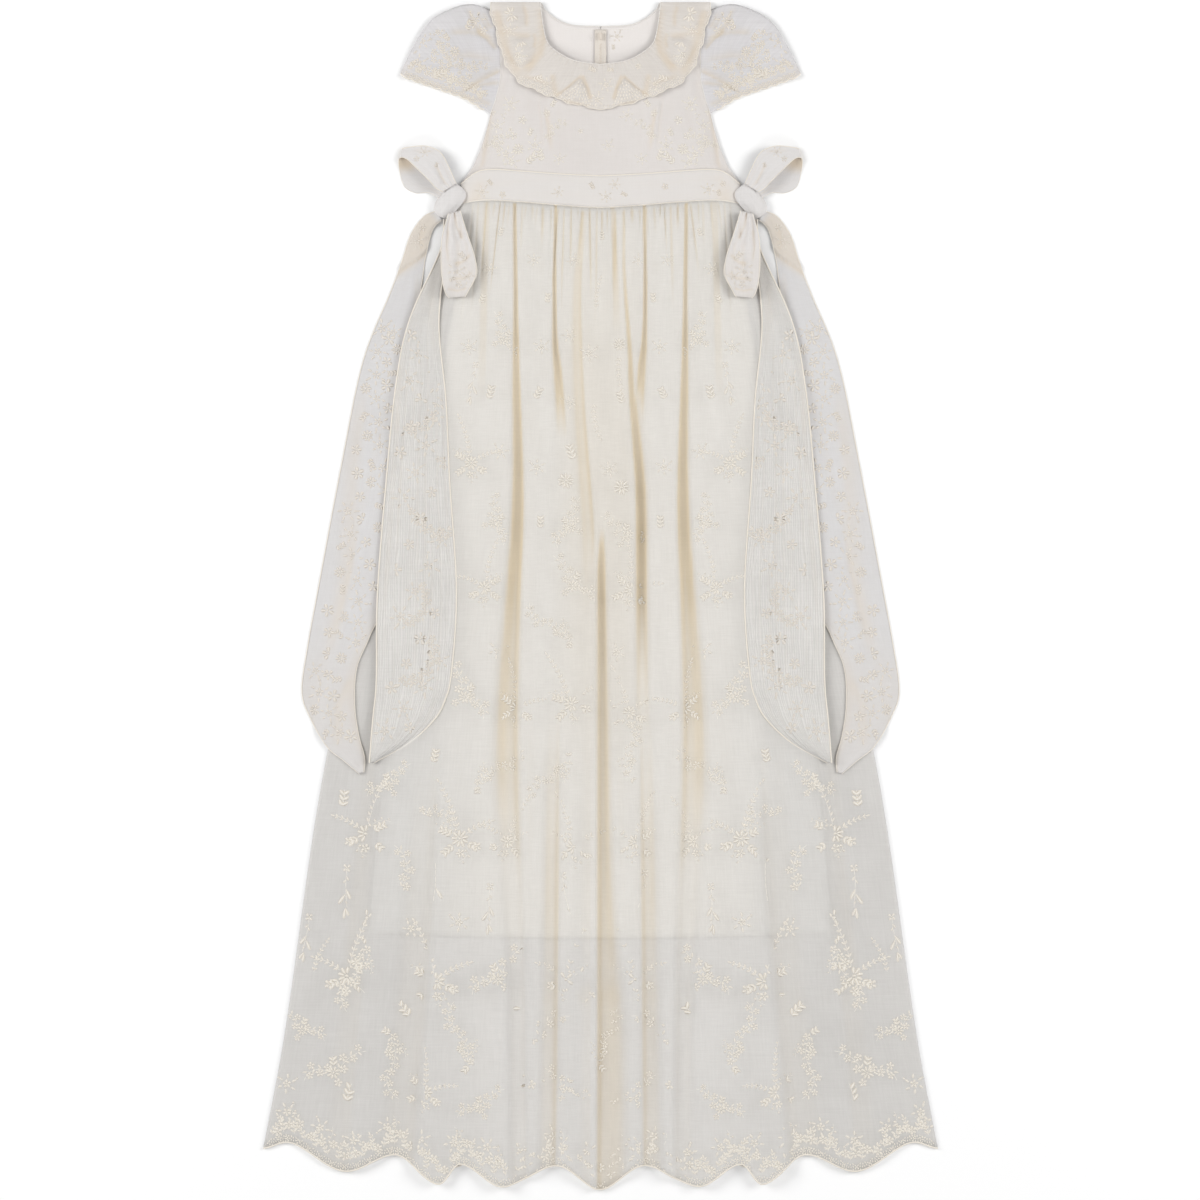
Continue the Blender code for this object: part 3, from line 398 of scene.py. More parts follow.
    def skirt(self, x: Array, y: Array) -> Array:
        """Middle of the front skirt's wall over the surface.

        Args:
            x: distance from the centre line.
            y: height up the gown.

        Returns:
            Its height.
        """
        half = self.skirt_edge.read(y)
        side = self.edge_share(x, half)
        down = self.waist.read(np.abs(x)) - y
        ripple = 0.4 * np.sin(x / 9 + y / 70) * np.sin(y / 46 - x / 60)
        line = self.skirt_share(x, y)
        wave = 0.9 * np.sin(38 * line + 1) + np.sin(23 * line - 0.5)
        ripple = ripple + wave * (1 - ease(-260, -20, y))
        beside = 1 - ease(2, 2 + self.edge_ramp, np.abs(x) - self.lining_half(y))
        below = ease(self.lining_hem - 62, self.lining_hem - 32, y)
        bed = self.front_lie + self.stack * beside * below
        puff = 2.3 * ease(-3.5, 2.5, down) * (1 - ease(15, 60, down))
        taken = blend(1, 0.6, ease(60, 240, y)) * (1 - self.troughs(FOLDS, x, y))
        crest = (self.crest.read(y) + ripple + puff) * side * (1 - taken)
        return bed + np.maximum(crest - self.gathers(x, y) * side**0.3, 0)

    def back_rise(self, x: Array, y: Array) -> Array:
        """Height of the back panels where the back collar lies under them."""
        return self.layer * (ease(430, 462, y) * (1 - ease(103, 118, np.abs(x))))

    def front_stack(self, x: Array, half: Array) -> Array:
        """How far a front wall stands up over its lining, from the side edge inwards."""
        return self.stack * ease(0, self.edge_ramp, half - np.abs(x))

    def band(self, x: Array, y: Array) -> Array:
        """Middle of the front waistband's wall."""
        crest = self.crest.read(y) * self.edge_share(x, self.band_half)
        return self.front_lie + self.front_stack(x, self.band_half) + crest

    def bodice(self, x: Array, y: Array) -> Array:
        """Middle of the front bodice's wall, down on the back panel along the shoulder."""
        half = self.bodice_half(y)
        below = 1 - ease(452, 527, y)
        crest = self.crest.read(y) * self.edge_share(x, half)
        return self.front_lie + self.back_rise(x, y) + (self.front_stack(x, half) + crest) * below

    def ribbon_rest(self, x: Array, y: Array) -> Array:
        """Middle of a ribbon that bridges the dips of what lies below it.

        Args:
            x: distance from the centre line.
            y: height up the gown.

        Returns:
            Its height.
        """
        rest = np.zeros(np.broadcast(x, y).shape)
        for right, up in ((0, 0), (1, 0), (-1, 0), (0, 1), (0, -1)):
            at, level = x + self.ribbon_reach * right, y + self.ribbon_reach * up
            half = self.skirt_edge.read(level)
            beyond = np.abs(at) - half
            lie = self.skirt(np.minimum(np.abs(at), half), level) + self.ribbon_gap
            rest = np.maximum(rest, blend(lie, self.back_lie, ease(3, 17, beyond)))
        return rest


FORM = GownForm()


class Value:
    """A number in a node tree; arithmetic on it adds Math nodes."""

    def __init__(self, tree: Tree, socket: Socket) -> None:
        """Wraps the socket that gives the number."""
        self.tree, self.socket = tree, socket

    def math(self, operation: str, *others: "Value | float") -> "Value":
        """One Math node's result, from this number and others.

        Args:
            operation: the node's operation.
            others: its other values.

        Returns:
            The result.
        """
        node = self.tree.nodes.new("ShaderNodeMath")
        node.operation = operation
        for value, socket in zip((self, *others), node.inputs):
            if isinstance(value, Value):
                self.tree.links.new(value.socket, socket)
            else:
                socket.default_value = value
        return Value(self.tree, node.outputs[0])

    __add__ = partialmethod(math, "ADD")
    __sub__ = partialmethod(math, "SUBTRACT")
    __mul__ = partialmethod(math, "MULTIPLY")
    __truediv__ = partialmethod(math, "DIVIDE")

    def left(self) -> "Value":
        """What is left of 1."""
        return self * -1 + 1

    def wave(self) -> "Value":
        """A wave between 0 and 1, one for each whole step of the number."""
        return (self * (2 * math.pi)).math("SINE") * 0.5 + 0.5

    def noise(self, other: "Value", detail: float = 2) -> "Value":
        """Soft noise at a pair of numbers."""
        join, node = (self.tree.nodes.new("ShaderNode" + kind) for kind in ("CombineXYZ", "TexNoise"))
        node.inputs["Scale"].default_value = 1
        node.inputs["Detail"].default_value = detail
        for source, socket in ((self.socket, join.inputs[0]), (other.socket, join.inputs[1]),
                (join.outputs[0], node.inputs["Vector"])):
            self.tree.links.new(source, socket)
        return Value(self.tree, node.outputs[0])


def pattern_group(name: str, settings: Sequence[str], work: Callable[..., tuple[Value, Value]]) -> Tree:
    """The node group of a pattern, made once.

    Args:
        name: the group's name.
        settings: the names of its number inputs.
        work: gives the Height and the Furrow from the two UV numbers and the settings.

    Returns:
        The group.
    """
    if name in bpy.data.node_groups:
        return bpy.data.node_groups[name]
    tree = bpy.data.node_groups.new(name, "ShaderNodeTree")
    tree.interface.new_socket("Vector", in_out="INPUT", socket_type="NodeSocketVector")
    for way, labels in (("INPUT", settings), ("OUTPUT", ("Height", "Furrow"))):
        for label in labels:
            tree.interface.new_socket(label, in_out=way, socket_type="NodeSocketFloat")
    given, split, result = (tree.nodes.new(kind)
        for kind in ("NodeGroupInput", "ShaderNodeSeparateXYZ", "NodeGroupOutput"))
    tree.links.new(given.outputs[0], split.inputs[0])
    sources = (*split.outputs[:2], *given.outputs[1:1 + len(settings)])
    for value, socket in zip(work(*(Value(tree, source) for source in sources)), result.inputs):
        tree.links.new(value.socket, socket)
    return tree


def strands(along: Value, across: Value, pitch: Value) -> tuple[Value, Value]:
    """Threads that lie side by side across a stitched shape's length."""
    wander = (along * 900).noise(across * 900)
    height = (along / pitch + wander).wave()
    # Painted shade between the strands, made uneven by the noise.
    return height, height.left() * wander


def weave(across: Value, along: Value, pitch: Value, slub: Value, crinkle: Value,
        crinkle_pitch: Value) -> tuple[Value, Value]:
    """Plain weave of uneven threads, with slubs both ways and a lengthwise crinkle.

    Args:
        across, along: the UV numbers.
        pitch: distance between threads.
        slub, crinkle: how strong each is.
        crinkle_pitch: distance between crinkles.

    Returns:
        Height of the weave, and how far it takes the shade colour: painted shade between the threads and in the
        crinkles' furrows, mixed with uneven tone from the slubs and the cloud noise.
    """
    threads, streaks = [], []
    for first, second in ((across, along), (along, across)):
        drift = (first * 900).noise(second * 30)
        threads.append((first / pitch + drift * 2.5).wave())
        streaks.append(((first * 700).noise(second * 40, 3) - 0.48) * 2.4)
    woven = threads[0].math("MAXIMUM", threads[1])
    slubs = (streaks[0] + streaks[1]) * slub
    cloud = (across * 28).noise(along * 16, 3)
    bend = (across * 90).noise(along * 14)
    crease = (across / crinkle_pitch + bend * 3).wave() * crinkle
    # Painted shade between threads and in crinkle furrows, with the slubs and the cloud as uneven tone.
    furrow = woven.left() * 0.5 - slubs - crease * 0.7 + cloud * 0.9 + crinkle * 0.5
    return slubs * 0.6 + woven + crease * 3, furrow.math("MAXIMUM", 0).math("MINIMUM", 1)


def new_material(name: str) -> tuple[Tree, bpy.types.Node]:
    """A new material's node tree and its Principled shader."""
    material = bpy.data.materials.new(name)
    material.use_nodes = True
    return material.node_tree, material.node_tree.nodes["Principled BSDF"]


def mix_colours(tree: Tree, factor: Socket, first: Sequence[float] | Socket, second: Sequence[float]) -> Socket:
    """Mixes two colours by a factor.

    Args:
        tree: the material's tree.
        factor: share of the second colour.
        first: a colour, or the socket that gives one.
        second: a colour.

    Returns:
        The mixed colour.
    """
    mix = tree.nodes.new("ShaderNodeMix")
    mix.data_type = "RGBA"
    tree.links.new(factor, mix.inputs["Factor"])
    mix.inputs[7].default_value = (*second, 1)
    if isinstance(first, Socket):
        tree.links.new(first, mix.inputs[6])
    else:
        mix.inputs[6].default_value = (*first, 1)
    return mix.outputs[2]


@dataclass(frozen=True)
class Finish:
    """What thread and cloth share: a colour, a shade colour painted into the pattern's furrows, and a deep colour that
    paints shade where the piece's attribute says.
    """

    name: str
    colour: tuple[float, float, float]
    shade: tuple[float, float, float]
    # deep is the painted shade colour of folds, hollows and stitch rims.
    deep: tuple[float, float, float] = (0.66, 0.55, 0.41)
    roughness: float = 0.5
    pitch: float = 0.0003
    bump: float = 0.25

    def start(self, group: Tree, share: str, depth: float, sheen: Pair, **values: float) -> None:
        """Makes the material but for its opacity.

        Args:
            group: the pattern's node group.
            share: the piece's attribute that says where the deep colour paints shade in.
            depth: height of the pattern in metres.
            sheen: weight and roughness of the sheen.
            values: the group's number inputs apart from its pitch.
        """
        tree, shader = new_material(self.name)
        pattern, source, deep, lump = (tree.nodes.new("ShaderNode" + kind)
            for kind in ("Group", "UVMap", "Attribute", "Bump"))
        pattern.name, pattern.node_tree = "pattern", group
        source.uv_map, deep.attribute_name = "UVMap", share
        tint = mix_colours(tree, pattern.outputs["Furrow"], self.colour, self.shade)
        # Painted shade: the furrows take the shade colour, and the attribute brings in the deep colour.
        for first, second in ((source.outputs["UV"], pattern.inputs["Vector"]),
                (mix_colours(tree, deep.outputs["Fac"], tint, self.deep), shader.inputs["Base Color"]),
                (pattern.outputs["Height"], lump.inputs["Height"]), (lump.outputs["Normal"], shader.inputs["Normal"])):
            tree.links.new(first, second)
        settings = {"Roughness": self.roughness, "Sheen Weight": sheen[0], "Sheen Roughness": sheen[1]}
        for node, numbers in ((pattern, {"Pitch": self.pitch, **values}), (shader, settings),
                (lump, {"Strength": self.bump, "Distance": depth})):
            for name, value in numbers.items():
                node.inputs[name].default_value = value

    def make(self) -> None:
        """Thread lies side by side, with the deep colour painted as shade round each shape's rim, where it dips in."""
        self.start(pattern_group("thread_strands", ("Pitch",), strands), "edge", 0.0002, (0.2, 0.4))

    def material(self) -> bpy.types.Material:
        """The finish's material, made once."""
        if self.name not in bpy.data.materials:
            self.make()
        return bpy.data.materials[self.name]


@dataclass(frozen=True)
class ClothFinish(Finish):
    """A woven cloth: its colours, how sheer it is, and the size of its weave and crinkle."""

    roughness: float = 0.85
    pitch: float = 0.0005
    bump: float = 0.3
    opacity: float = 1
    sheer_change: float = 0
    slub: float = 0.4
    crinkle: float = 0
    crinkle_pitch: float = 0.0024

    def make(self) -> None:
        """Plain weave with slubs; folds and hollows take the deep colour as painted shade, and only near faces show a
        sheer cloth.
        """
        group = pattern_group("gauze_weave", ("Pitch", "Slub", "Crinkle", "Crinkle Pitch"), weave)
        self.start(group, "fold", 0.0004, (0.15, 0.6), Slub=self.slub, Crinkle=self.crinkle,
            **{"Crinkle Pitch": self.crinkle_pitch})
        if self.opacity < 1:
            tree = bpy.data.materials[self.name].node_tree
            facing = tree.nodes.new("ShaderNodeNewGeometry")
            furrow = Value(tree, tree.nodes["pattern"].outputs["Furrow"])
            sheer = furrow * (-2 * self.sheer_change) + (self.opacity + self.sheer_change)
            alpha = sheer * Value(tree, facing.outputs["Backfacing"]).left()
            tree.links.new(alpha.socket, tree.nodes["Principled BSDF"].inputs["Alpha"])


# Warm painted shade colour that the bodice, its inside and the band take in folds and hollows.
AMBER_SHADE = (0.72, 0.60, 0.45)


@dataclass(frozen=True)
class Wardrobe:
    """Every finish of the gown."""

    # Each finish's second colour is painted into its pattern's furrows as shade, and its third is the painted shade of
    # folds, hollows and stitch rims.
    skirt: Finish = ClothFinish("sheer_voile", (0.875, 0.85, 0.81), (0.82, 0.79, 0.745), (0.80, 0.67, 0.47),
        opacity=0.66, sheer_change=0.05, slub=0.25)
    # The back panel's colours are painted shade: the voile darkened for the shade under the front panel, with a light
    # deep colour that eases the painted shade towards the middle.
    skirt_back: Finish = ClothFinish("sheer_voile_back", (0.52, 0.53, 0.57), (0.47, 0.48, 0.515), (0.88, 0.88, 0.9),
        opacity=0.8)
    bodice: Finish = ClothFinish("lined_voile", (0.745, 0.708, 0.685), (0.695, 0.655, 0.625), AMBER_SHADE, slub=0.3)
    inside: Finish = ClothFinish("bodice_inside", (0.83, 0.79, 0.765), (0.79, 0.75, 0.72), AMBER_SHADE, slub=0.3)
    sleeve: Finish = ClothFinish("sleeve_voile", (0.80, 0.782, 0.79), (0.74, 0.72, 0.725), (0.74, 0.65, 0.53),
        opacity=0.84, sheer_change=0.05)
    collar: Finish = ClothFinish("collar_voile", (0.81, 0.77, 0.73), (0.76, 0.715, 0.67), (0.75, 0.62, 0.46),
        opacity=0.88, sheer_change=0.04)
    band: Finish = ClothFinish("band_voile", (0.74, 0.71, 0.685), (0.70, 0.668, 0.638), AMBER_SHADE, slub=0.25, bump=0.2)
    sash: Finish = ClothFinish("sash_voile", (0.745, 0.725, 0.715), (0.69, 0.665, 0.65), (0.70, 0.60, 0.48), slub=0.45)
    tail: Finish = ClothFinish("tail_voile", (0.695, 0.685, 0.685), (0.645, 0.63, 0.625), (0.70, 0.61, 0.50),
        slub=0.45)
    crepe: Finish = ClothFinish("sash_crinkle", (0.84, 0.82, 0.79), (0.67, 0.65, 0.62), (0.74, 0.66, 0.56), slub=0.3,
        crinkle=0.8, bump=0.5)
    # The lining's deep colour is the painted shade towards its sides.
    lining: Finish = ClothFinish("lining_lawn", (0.925, 0.91, 0.875), (0.895, 0.875, 0.835), (0.64, 0.65, 0.665),
        pitch=0.0004, slub=0.15, bump=0.2)
    zip_tape: Finish = ClothFinish("zip_tape_weave", (0.79, 0.735, 0.67), (0.72, 0.66, 0.59), (0.6, 0.5, 0.4),
        slub=0.1)
    # The threads' deep colours are painted shade round each stitched shape's rim.
    thread: Finish = Finish("embroidery_thread", (0.83, 0.8, 0.745), (0.77, 0.73, 0.66), (0.76, 0.67, 0.53))
    shade_thread: Finish = Finish("tone_thread", (0.81, 0.775, 0.715), (0.70, 0.645, 0.57))
    tail_thread: Finish = Finish("tan_thread", (0.775, 0.735, 0.68), (0.695, 0.645, 0.58), (0.68, 0.6, 0.5))
    collar_thread: Finish = Finish("cream_thread", (0.87, 0.84, 0.79), (0.80, 0.75, 0.68), (0.68, 0.56, 0.40))
    cord: Finish = Finish("satin_cord", (0.86, 0.81, 0.73), (0.74, 0.67, 0.57), pitch=0.0006)
    sewing: Finish = Finish("sewing_thread", (0.84, 0.81, 0.77), (0.74, 0.70, 0.65))
    coil: Finish = Finish("zip_coil_nylon", (0.76, 0.69, 0.61), (0.62, 0.54, 0.46), roughness=0.35)


WEAR = Wardrobe()


def add_object(name: str, data: bpy.types.ID) -> Piece:
    """Puts a new object with this data into the scene."""
    piece = bpy.data.objects.new(name, data)
    bpy.context.scene.collection.objects.link(piece)
    return piece


def place_mesh(name: str, mesh: Mesh, finish: Finish) -> Piece:
    """Puts a finished mesh into the scene, riding on the gown.

    Args:
        name: the piece's name.
        mesh: its mesh.
        finish: its finish.

    Returns:
        The piece.
    """
    mesh.materials.append(finish.material())
    mesh.shade_smooth()
    piece = add_object(name, mesh)
    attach(piece, "root")
    return piece


def read_mesh(mesh: Mesh) -> Arrays:
    """A mesh's places, a row for each vertex, and the vertex at each corner."""
    place, corner = np.empty(len(mesh.vertices) * 3), np.empty(len(mesh.loops), int)
    mesh.vertices.foreach_get("co", place)
    mesh.loops.foreach_get("vertex_index", corner)
    return place.reshape(-1, 3), corner


def chart(mesh: Mesh, first: Array, second: Array) -> Mesh:
    """Gives a mesh a UV map from two numbers for each corner, and returns it."""
    uv = mesh.uv_layers.get("UVMap") or mesh.uv_layers.new(name="UVMap")
    uv.data.foreach_set("uv", np.stack([first, second], axis=1).ravel())
    return mesh


def mark(mesh: Mesh, name: str, value: Array) -> None:
    """Gives a mesh an attribute with a number for each vertex."""
    mesh.attributes.new(name, "FLOAT", "POINT").data.foreach_set("value", value.astype(np.float32))


def shape_mesh(shape: bmesh.types.BMesh, name: str) -> Mesh:
    """Turns a built shape into a mesh."""
    mesh = bpy.data.meshes.new(name)
    shape.to_mesh(mesh)
    shape.free()
    return mesh


def flat_chart(mesh: Mesh) -> Mesh:
    """Gives a mesh a UV map in metres, seen from above, and returns it."""
    place, corner = read_mesh(mesh)
    return chart(mesh, place[corner, 0] + place[corner, 2], place[corner, 1])


@dataclass
class Cloth:
    """A piece of cloth as a grid of points on the middle of its wall.

    The grid's columns go across the piece and its rows down it. fold gives the share of the deep colour,
    painted shade, at each point. shown gives the share of the rows, first and last, that lie on top and
    may carry stitching. The last field says how the deep colour comes into hollows as painted shade:
    over what reach and from what depth, in millimetres, and how strongly.
    """

    name: str
    points: tuple[Array, Array, Array | float]
    cut: Pair
    wall: float = 0.45
    fold: Array | float = 0
    shown: Pair = (0, 1)
    hollow: tuple[float, float, Array | float] = (5, 1.2, 0.4)

    def __post_init__(self) -> None:
        """Joins the grids, and works out which way is outwards from the parts that lie on top."""
        self.points = np.stack(np.broadcast_arrays(*self.points), axis=2)
        self.across = np.gradient(self.points, axis=1)
        self.down = np.gradient(self.points, axis=0)
        normal = np.cross(self.across, self.down)
        normal /= np.maximum(np.linalg.norm(normal, axis=2, keepdims=True), 1e-9)
        level = self.points[..., 2]
        self.turned = float((normal[..., 2] * (level - level.min() + 0.01)).sum()) < 0
        self.normal = -normal if self.turned else normal
        self.tree: KDTree | None = None
        # Painted shade: the deep colour comes into hollows by how far each point lies below the mean of its
        # neighbours.
        reach, depth, strength = self.hollow
        mean = level
        for axis, steps in enumerate((self.down, self.across)):
            near = max(1, round(reach / float(np.median(np.linalg.norm(steps, axis=2)))))
            padded = np.pad(mean, [(near, near) if side == axis else (0, 0) for side in (0, 1)], mode="edge")
            shifts = [np.take(padded, range(step, step + level.shape[axis]), axis=axis)
                for step in range(2 * near + 1)]
            mean = np.mean(shifts, axis=0)
        self.fold = np.clip(self.fold + strength * np.clip((mean - level) / depth, 0, 1), 0, 1)

    def find(self, x: Array, y: Array) -> Arrays:
        """Finds points of the plan on the grid.

        Args:
            x: millimetres to the right.
            y: millimetres up the gown.

        Returns:
            Share across the columns and down the rows, below 0 off the cloth.
        """
        rows, columns = self.points.shape[:2]
        first, last = round(self.shown[0] * (rows - 1)), round(self.shown[1] * (rows - 1)) + 1
        if self.tree is None:
            plan = self.points[first:last].reshape(-1, 3)
            self.tree = KDTree(len(plan))
            for index, point in enumerate(plan):
                self.tree.insert((point[0], point[1], 0), index)
            self.tree.balance()
        near = np.array([self.tree.find((px, py, 0))[1] for px, py in zip(x.ravel(), y.ravel())])
        row, column = near.reshape(x.shape) // columns + first, near.reshape(x.shape) % columns
        right, low = self.across[row, column], self.down[row, column]
        gap_x, gap_y = x - self.points[row, column, 0], y - self.points[row, column, 1]
        area = right[..., 0] * low[..., 1] - right[..., 1] * low[..., 0]
        area = np.where(np.abs(area) < 1e-6, 1e-6, area)
        step = (gap_x * low[..., 1] - gap_y * low[..., 0]) / area
        fall = (right[..., 0] * gap_y - right[..., 1] * gap_x) / area
        off = (np.abs(step) > 1.6) | (np.abs(fall) > 1.6)
        share = (column + step) / (columns - 1), (row + fall) / (rows - 1)
        return np.where(off, -1, share[0]), np.where(off, -1, share[1])

    def lay(self, across: Array, down: Array, lift: Array) -> Array:
        """Points on the cloth's upper face.

        Args:
            across: share across the grid's columns.
            down: share down the grid's rows.
            lift: millimetres over the face.

        Returns:
            The points, in millimetres.
        """
        rows, columns = self.points.shape[:2]
        column = np.clip(across, 0, 1) * (columns - 1)
        row = np.clip(down, 0, 1) * (rows - 1)
        left = np.minimum(column.astype(int), columns - 2)
        top = np.minimum(row.astype(int), rows - 2)
        right, low = (column - left)[..., None], (row - top)[..., None]
        point, normal = (
            blend(blend(grid[top, left], grid[top, left + 1], right),
                  blend(grid[top + 1, left], grid[top + 1, left + 1], right), low)
            for grid in (self.points, self.normal))
        return point + normal * (self.wall / 2 + np.asarray(lift))[..., None]

    def build(self, finish: Finish, slot: str = "voile") -> Piece:
        """Makes the wall of cloth.

        Args:
            finish: the cloth.
            slot: not used.

        Returns:
            The piece.
        """
        rows, columns = self.points.shape[0] - 1, self.points.shape[1] - 1
        shape = bmesh.new()
        bmesh.ops.create_grid(shape, x_segments=columns, y_segments=rows, size=1)
        mesh = shape_mesh(shape, self.name)
        place, corner = read_mesh(mesh)
        column = np.rint((place[:, 0] + 1) / 2 * columns).astype(int)
        row = np.rint((place[:, 1] + 1) / 2 * rows).astype(int)
        if self.turned:
            column = columns - column
        mesh.vertices.foreach_set("co", (self.points[row, column] * MM).ravel())
        # The fold attribute carries the painted shade share to the material.
        mark(mesh, "fold", self.fold[row, column])
        chart(mesh, column[corner] / columns * self.cut[0], -self.points[row, column, 1][corner] * MM).update()
        piece = place_mesh(self.name, mesh, finish)
        wall = piece.modifiers.new("wall", "SOLIDIFY")
        wall.thickness = self.wall * MM
        wall.offset = 0
        return piece

    def edge(self, down: float | None = None, across: float | None = None, count: int = 200, lift: float = 0) -> Array:
        """Points along one row or one column of the grid.

        Args:
            down: share down the rows, for a row.
            across: share across the columns, for a column.
            count: how many points.
            lift: millimetres over the wall's middle.

        Returns:
            The points.
        """
        share = np.linspace(0, 1, count)
        fixed = np.full(count, down if down is not None else across)
        level = np.full(count, lift - self.wall / 2)
        return self.lay(share, fixed, level) if down is not None else self.lay(fixed, share, level)


def ahead(x: float, y: float, angle: float, far: float) -> Pair:
    """The point that lies far from x, y, the way angle points."""
    return x + far * math.cos(angle), y + far * math.sin(angle)


@dataclass
class Patches:
    """Satin-stitched shapes: where each starts, the way it points, and its length, width and rise."""

    rows: list[tuple[float, float, float, float, float, float, Stitch]] = field(default_factory=list)

    def add(self, x: float, y: float, angle: float, length: float, width: float, kind: Stitch,
            rise: float = 0.45) -> None:
        """Adds one shape that starts at x, y and points along angle."""
        self.rows.append((x, y, angle, length, width, rise, kind))

    def moved(self, x: float, y: float, angle: float = 0, scale: float = 1, flip: bool = False) -> "Patches":
        """A copy of the shapes, mirrored, scaled, turned and moved, in that order.

        Args:
            x, y: how far it moves.
            angle: how far it turns.
            scale: its size.
            flip: whether it is mirrored.

        Returns:
            The copy.
        """
        cosine, sine = math.cos(angle), math.sin(angle)
        made = Patches()
        for px, py, turn, length, width, rise, kind in self.rows:
            if flip:
                px, turn = -px, math.pi - turn
            made.rows.append((x + scale * (px * cosine - py * sine), y + scale * (px * sine + py * cosine),
                turn + angle, length * scale, width * scale, rise, kind))
        return made

    def on(self, side: int) -> "Patches":
        """The shapes as they are for 1, or their mirror image for -1."""
        return self if side > 0 else self.moved(0, 0, flip=True)

    def join(self, *others: "Patches") -> "Patches":
        """Takes in the shapes of others."""
        for other in others:
            self.rows.extend(other.rows)
        return self


class Motifs:
    """The embroidery's flowers, leaves and sprays, as shapes round their own start."""

    def bloom(self, radius: float, petals: int, turn: float, start: float, sizes: Sequence[float], width: float,
            rise: float, knot: float) -> Patches:
        """Petals round a knot, with each measure below as a share of the radius.

        Args:
            radius: of the flower.
            petals: how many.
            turn: where the first one points, in petals.
            start: where a petal starts.
            sizes: their lengths, taken in turn.
            width, rise: of a petal.
            knot: radius of the knot.

        Returns:
            The flower.
        """
        made = Patches()
        for index in range(petals):
            angle = 2 * math.pi * (index + turn) / petals
            made.add(*ahead(0, 0, angle, start * radius), angle, radius * sizes[index % len(sizes)], radius * width,
                Stitch.PETAL, rise)
        return made.join(self.berry(radius * knot))

    def star(self, radius: float = 7.5, petals: int = 9) -> Patches:
        """An open flower of slender petals."""
        return self.bloom(radius, petals, 0.25, 0.2, (0.74, 0.82), 0.42, 0.6, 0.2)

    def blossom(self, radius: float = 4.2, petals: int = 5) -> Patches:
        """A small round flower."""
        return self.bloom(radius, petals, 0.5, 0.18, (0.82,), 0.7, 0.5, 0.22)

    def berry(self, radius: float = 1.3) -> Patches:
        """A padded dot."""
        made = Patches()
        made.add(-radius, 0, 0, 2 * radius, 2 * radius, Stitch.PETAL, 0.6)
        return made

    def course(self, length: float, bend: float, parts: int) -> list[tuple[int, int, float, float, float]]:
        """Steps along a curve that starts upwards and turns by bend: index, side in turn, x, y and way."""
        x, y, angle = 0, 0, math.pi / 2
        steps = []
        for index in range(parts):
            steps.append((index, 1 if index % 2 else -1, x, y, angle))
            x, y = ahead(x, y, angle, length / parts)
            angle += bend / parts
        return steps

    def stem(self, length: float, bend: float, width: float = 0.7, parts: int = 6) -> Patches:
        """A curved line of stem stitch."""
        made = Patches()
        for _, _, x, y, angle in self.course(length, bend, parts):
            made.add(x, y, angle, length / parts * 1.15, width, Stitch.STEM, 0.25)
        return made

    def leafy(self, length: float = 40, bend: float = 0.5, pairs: int = 7, leaf: float = 4.6,
            spread: float = 0.75) -> Patches:
        """A stem with pairs of oval leaves and one at its tip."""
        made = self.stem(length, bend, parts=max(3, pairs - 1))
        step = length / pairs
        for index, _, x, y, angle in self.course(length, bend, pairs):
            size = leaf * (1 - 0.3 * index / pairs)
            for way in (-1, 1):
                made.add(*ahead(x, y, angle, 0.5 * step), angle + way * spread, size, size * 0.55, Stitch.LEAF, 0.5)
        made.add(*ahead(x, y, angle, step), angle, leaf, leaf * 0.5, Stitch.LEAF)
        return made

    def sheaf(self, pairs: int = 3) -> Patches:
        """A short thick sprig of fat leaves in pairs."""
        made = self.stem(4 * pairs, 0.2, parts=3)
        for _, _, x, y, angle in self.course(4 * pairs, 0.2, pairs):
            for way in (-1, 1):
                made.add(x + 0.4 * way, y, angle + way * 0.8, 5.8, 3.5, Stitch.LEAF, 0.65)
        return made

    def garland(self, length: float = 62, bend: float = 2.3, count: int = 12) -> Patches:
        """A close curved row of small blossoms with a leaf between every two."""
        made = Patches()
        for index, way, x, y, angle in self.course(length, bend, count):
            side = angle + way * math.pi / 2
            made.join(self.blossom(4 - 0.4 * (index % 3)).moved(*ahead(x, y, side, 1.6), index))
            made.add(*ahead(x, y, side, -2), angle - way * 0.9, 5.6, 3.2, Stitch.LEAF)
        return made

    def chain(self, length: float = 42, bend: float = 1.6, count: int = 6) -> Patches:
        """A curved stem that carries blossoms on one side and leaves on the other."""
        made = self.stem(length, bend, parts=7)
        for index, way, x, y, angle in self.course(length, bend, count):
            made.join(self.blossom(4.2 - 0.2 * index).moved(*ahead(x, y, angle + way * 1.2, 3.8)))
            made.add(x, y, angle - way * 0.9, 5, 2.3, Stitch.LEAF)
        return made

    def berries(self, length: float = 26, bend: float = -1.8, count: int = 7) -> Patches:
        """A fine tendril with dots that grow smaller."""
        made = self.stem(length, bend, width=0.5)
        for index, way, x, y, angle in self.course(length, bend, count):
            made.join(self.berry(1.45 - 0.1 * index).moved(*ahead(x, y, angle + way * math.pi / 2, 1.8)))
        return made

    def drops(self, length: float = 44) -> Patches:
        """A hanging sprig of slender leaves, with a small flower at its top."""
        made = self.blossom(4.2, 4).join(self.stem(length * 0.8, 0.25).moved(0, 0, math.pi))
        leaves = (0.16, 1, 5), (0.22, -1, 5), (0.42, 1, 11), (0.52, -1, 12), (0.66, 1, 4), (0.8, 1, 9)
        for share, way, size in leaves:
            made.add(0.05 * share * length, -share * length, -math.pi / 2 + way * 0.5, size, size * 0.26 + 0.8,
                Stitch.DROP, 0.55)
        made.add(0.04 * length, -0.8 * length, -math.pi / 2, 11, 3.4, Stitch.DROP, 0.55)
        return made

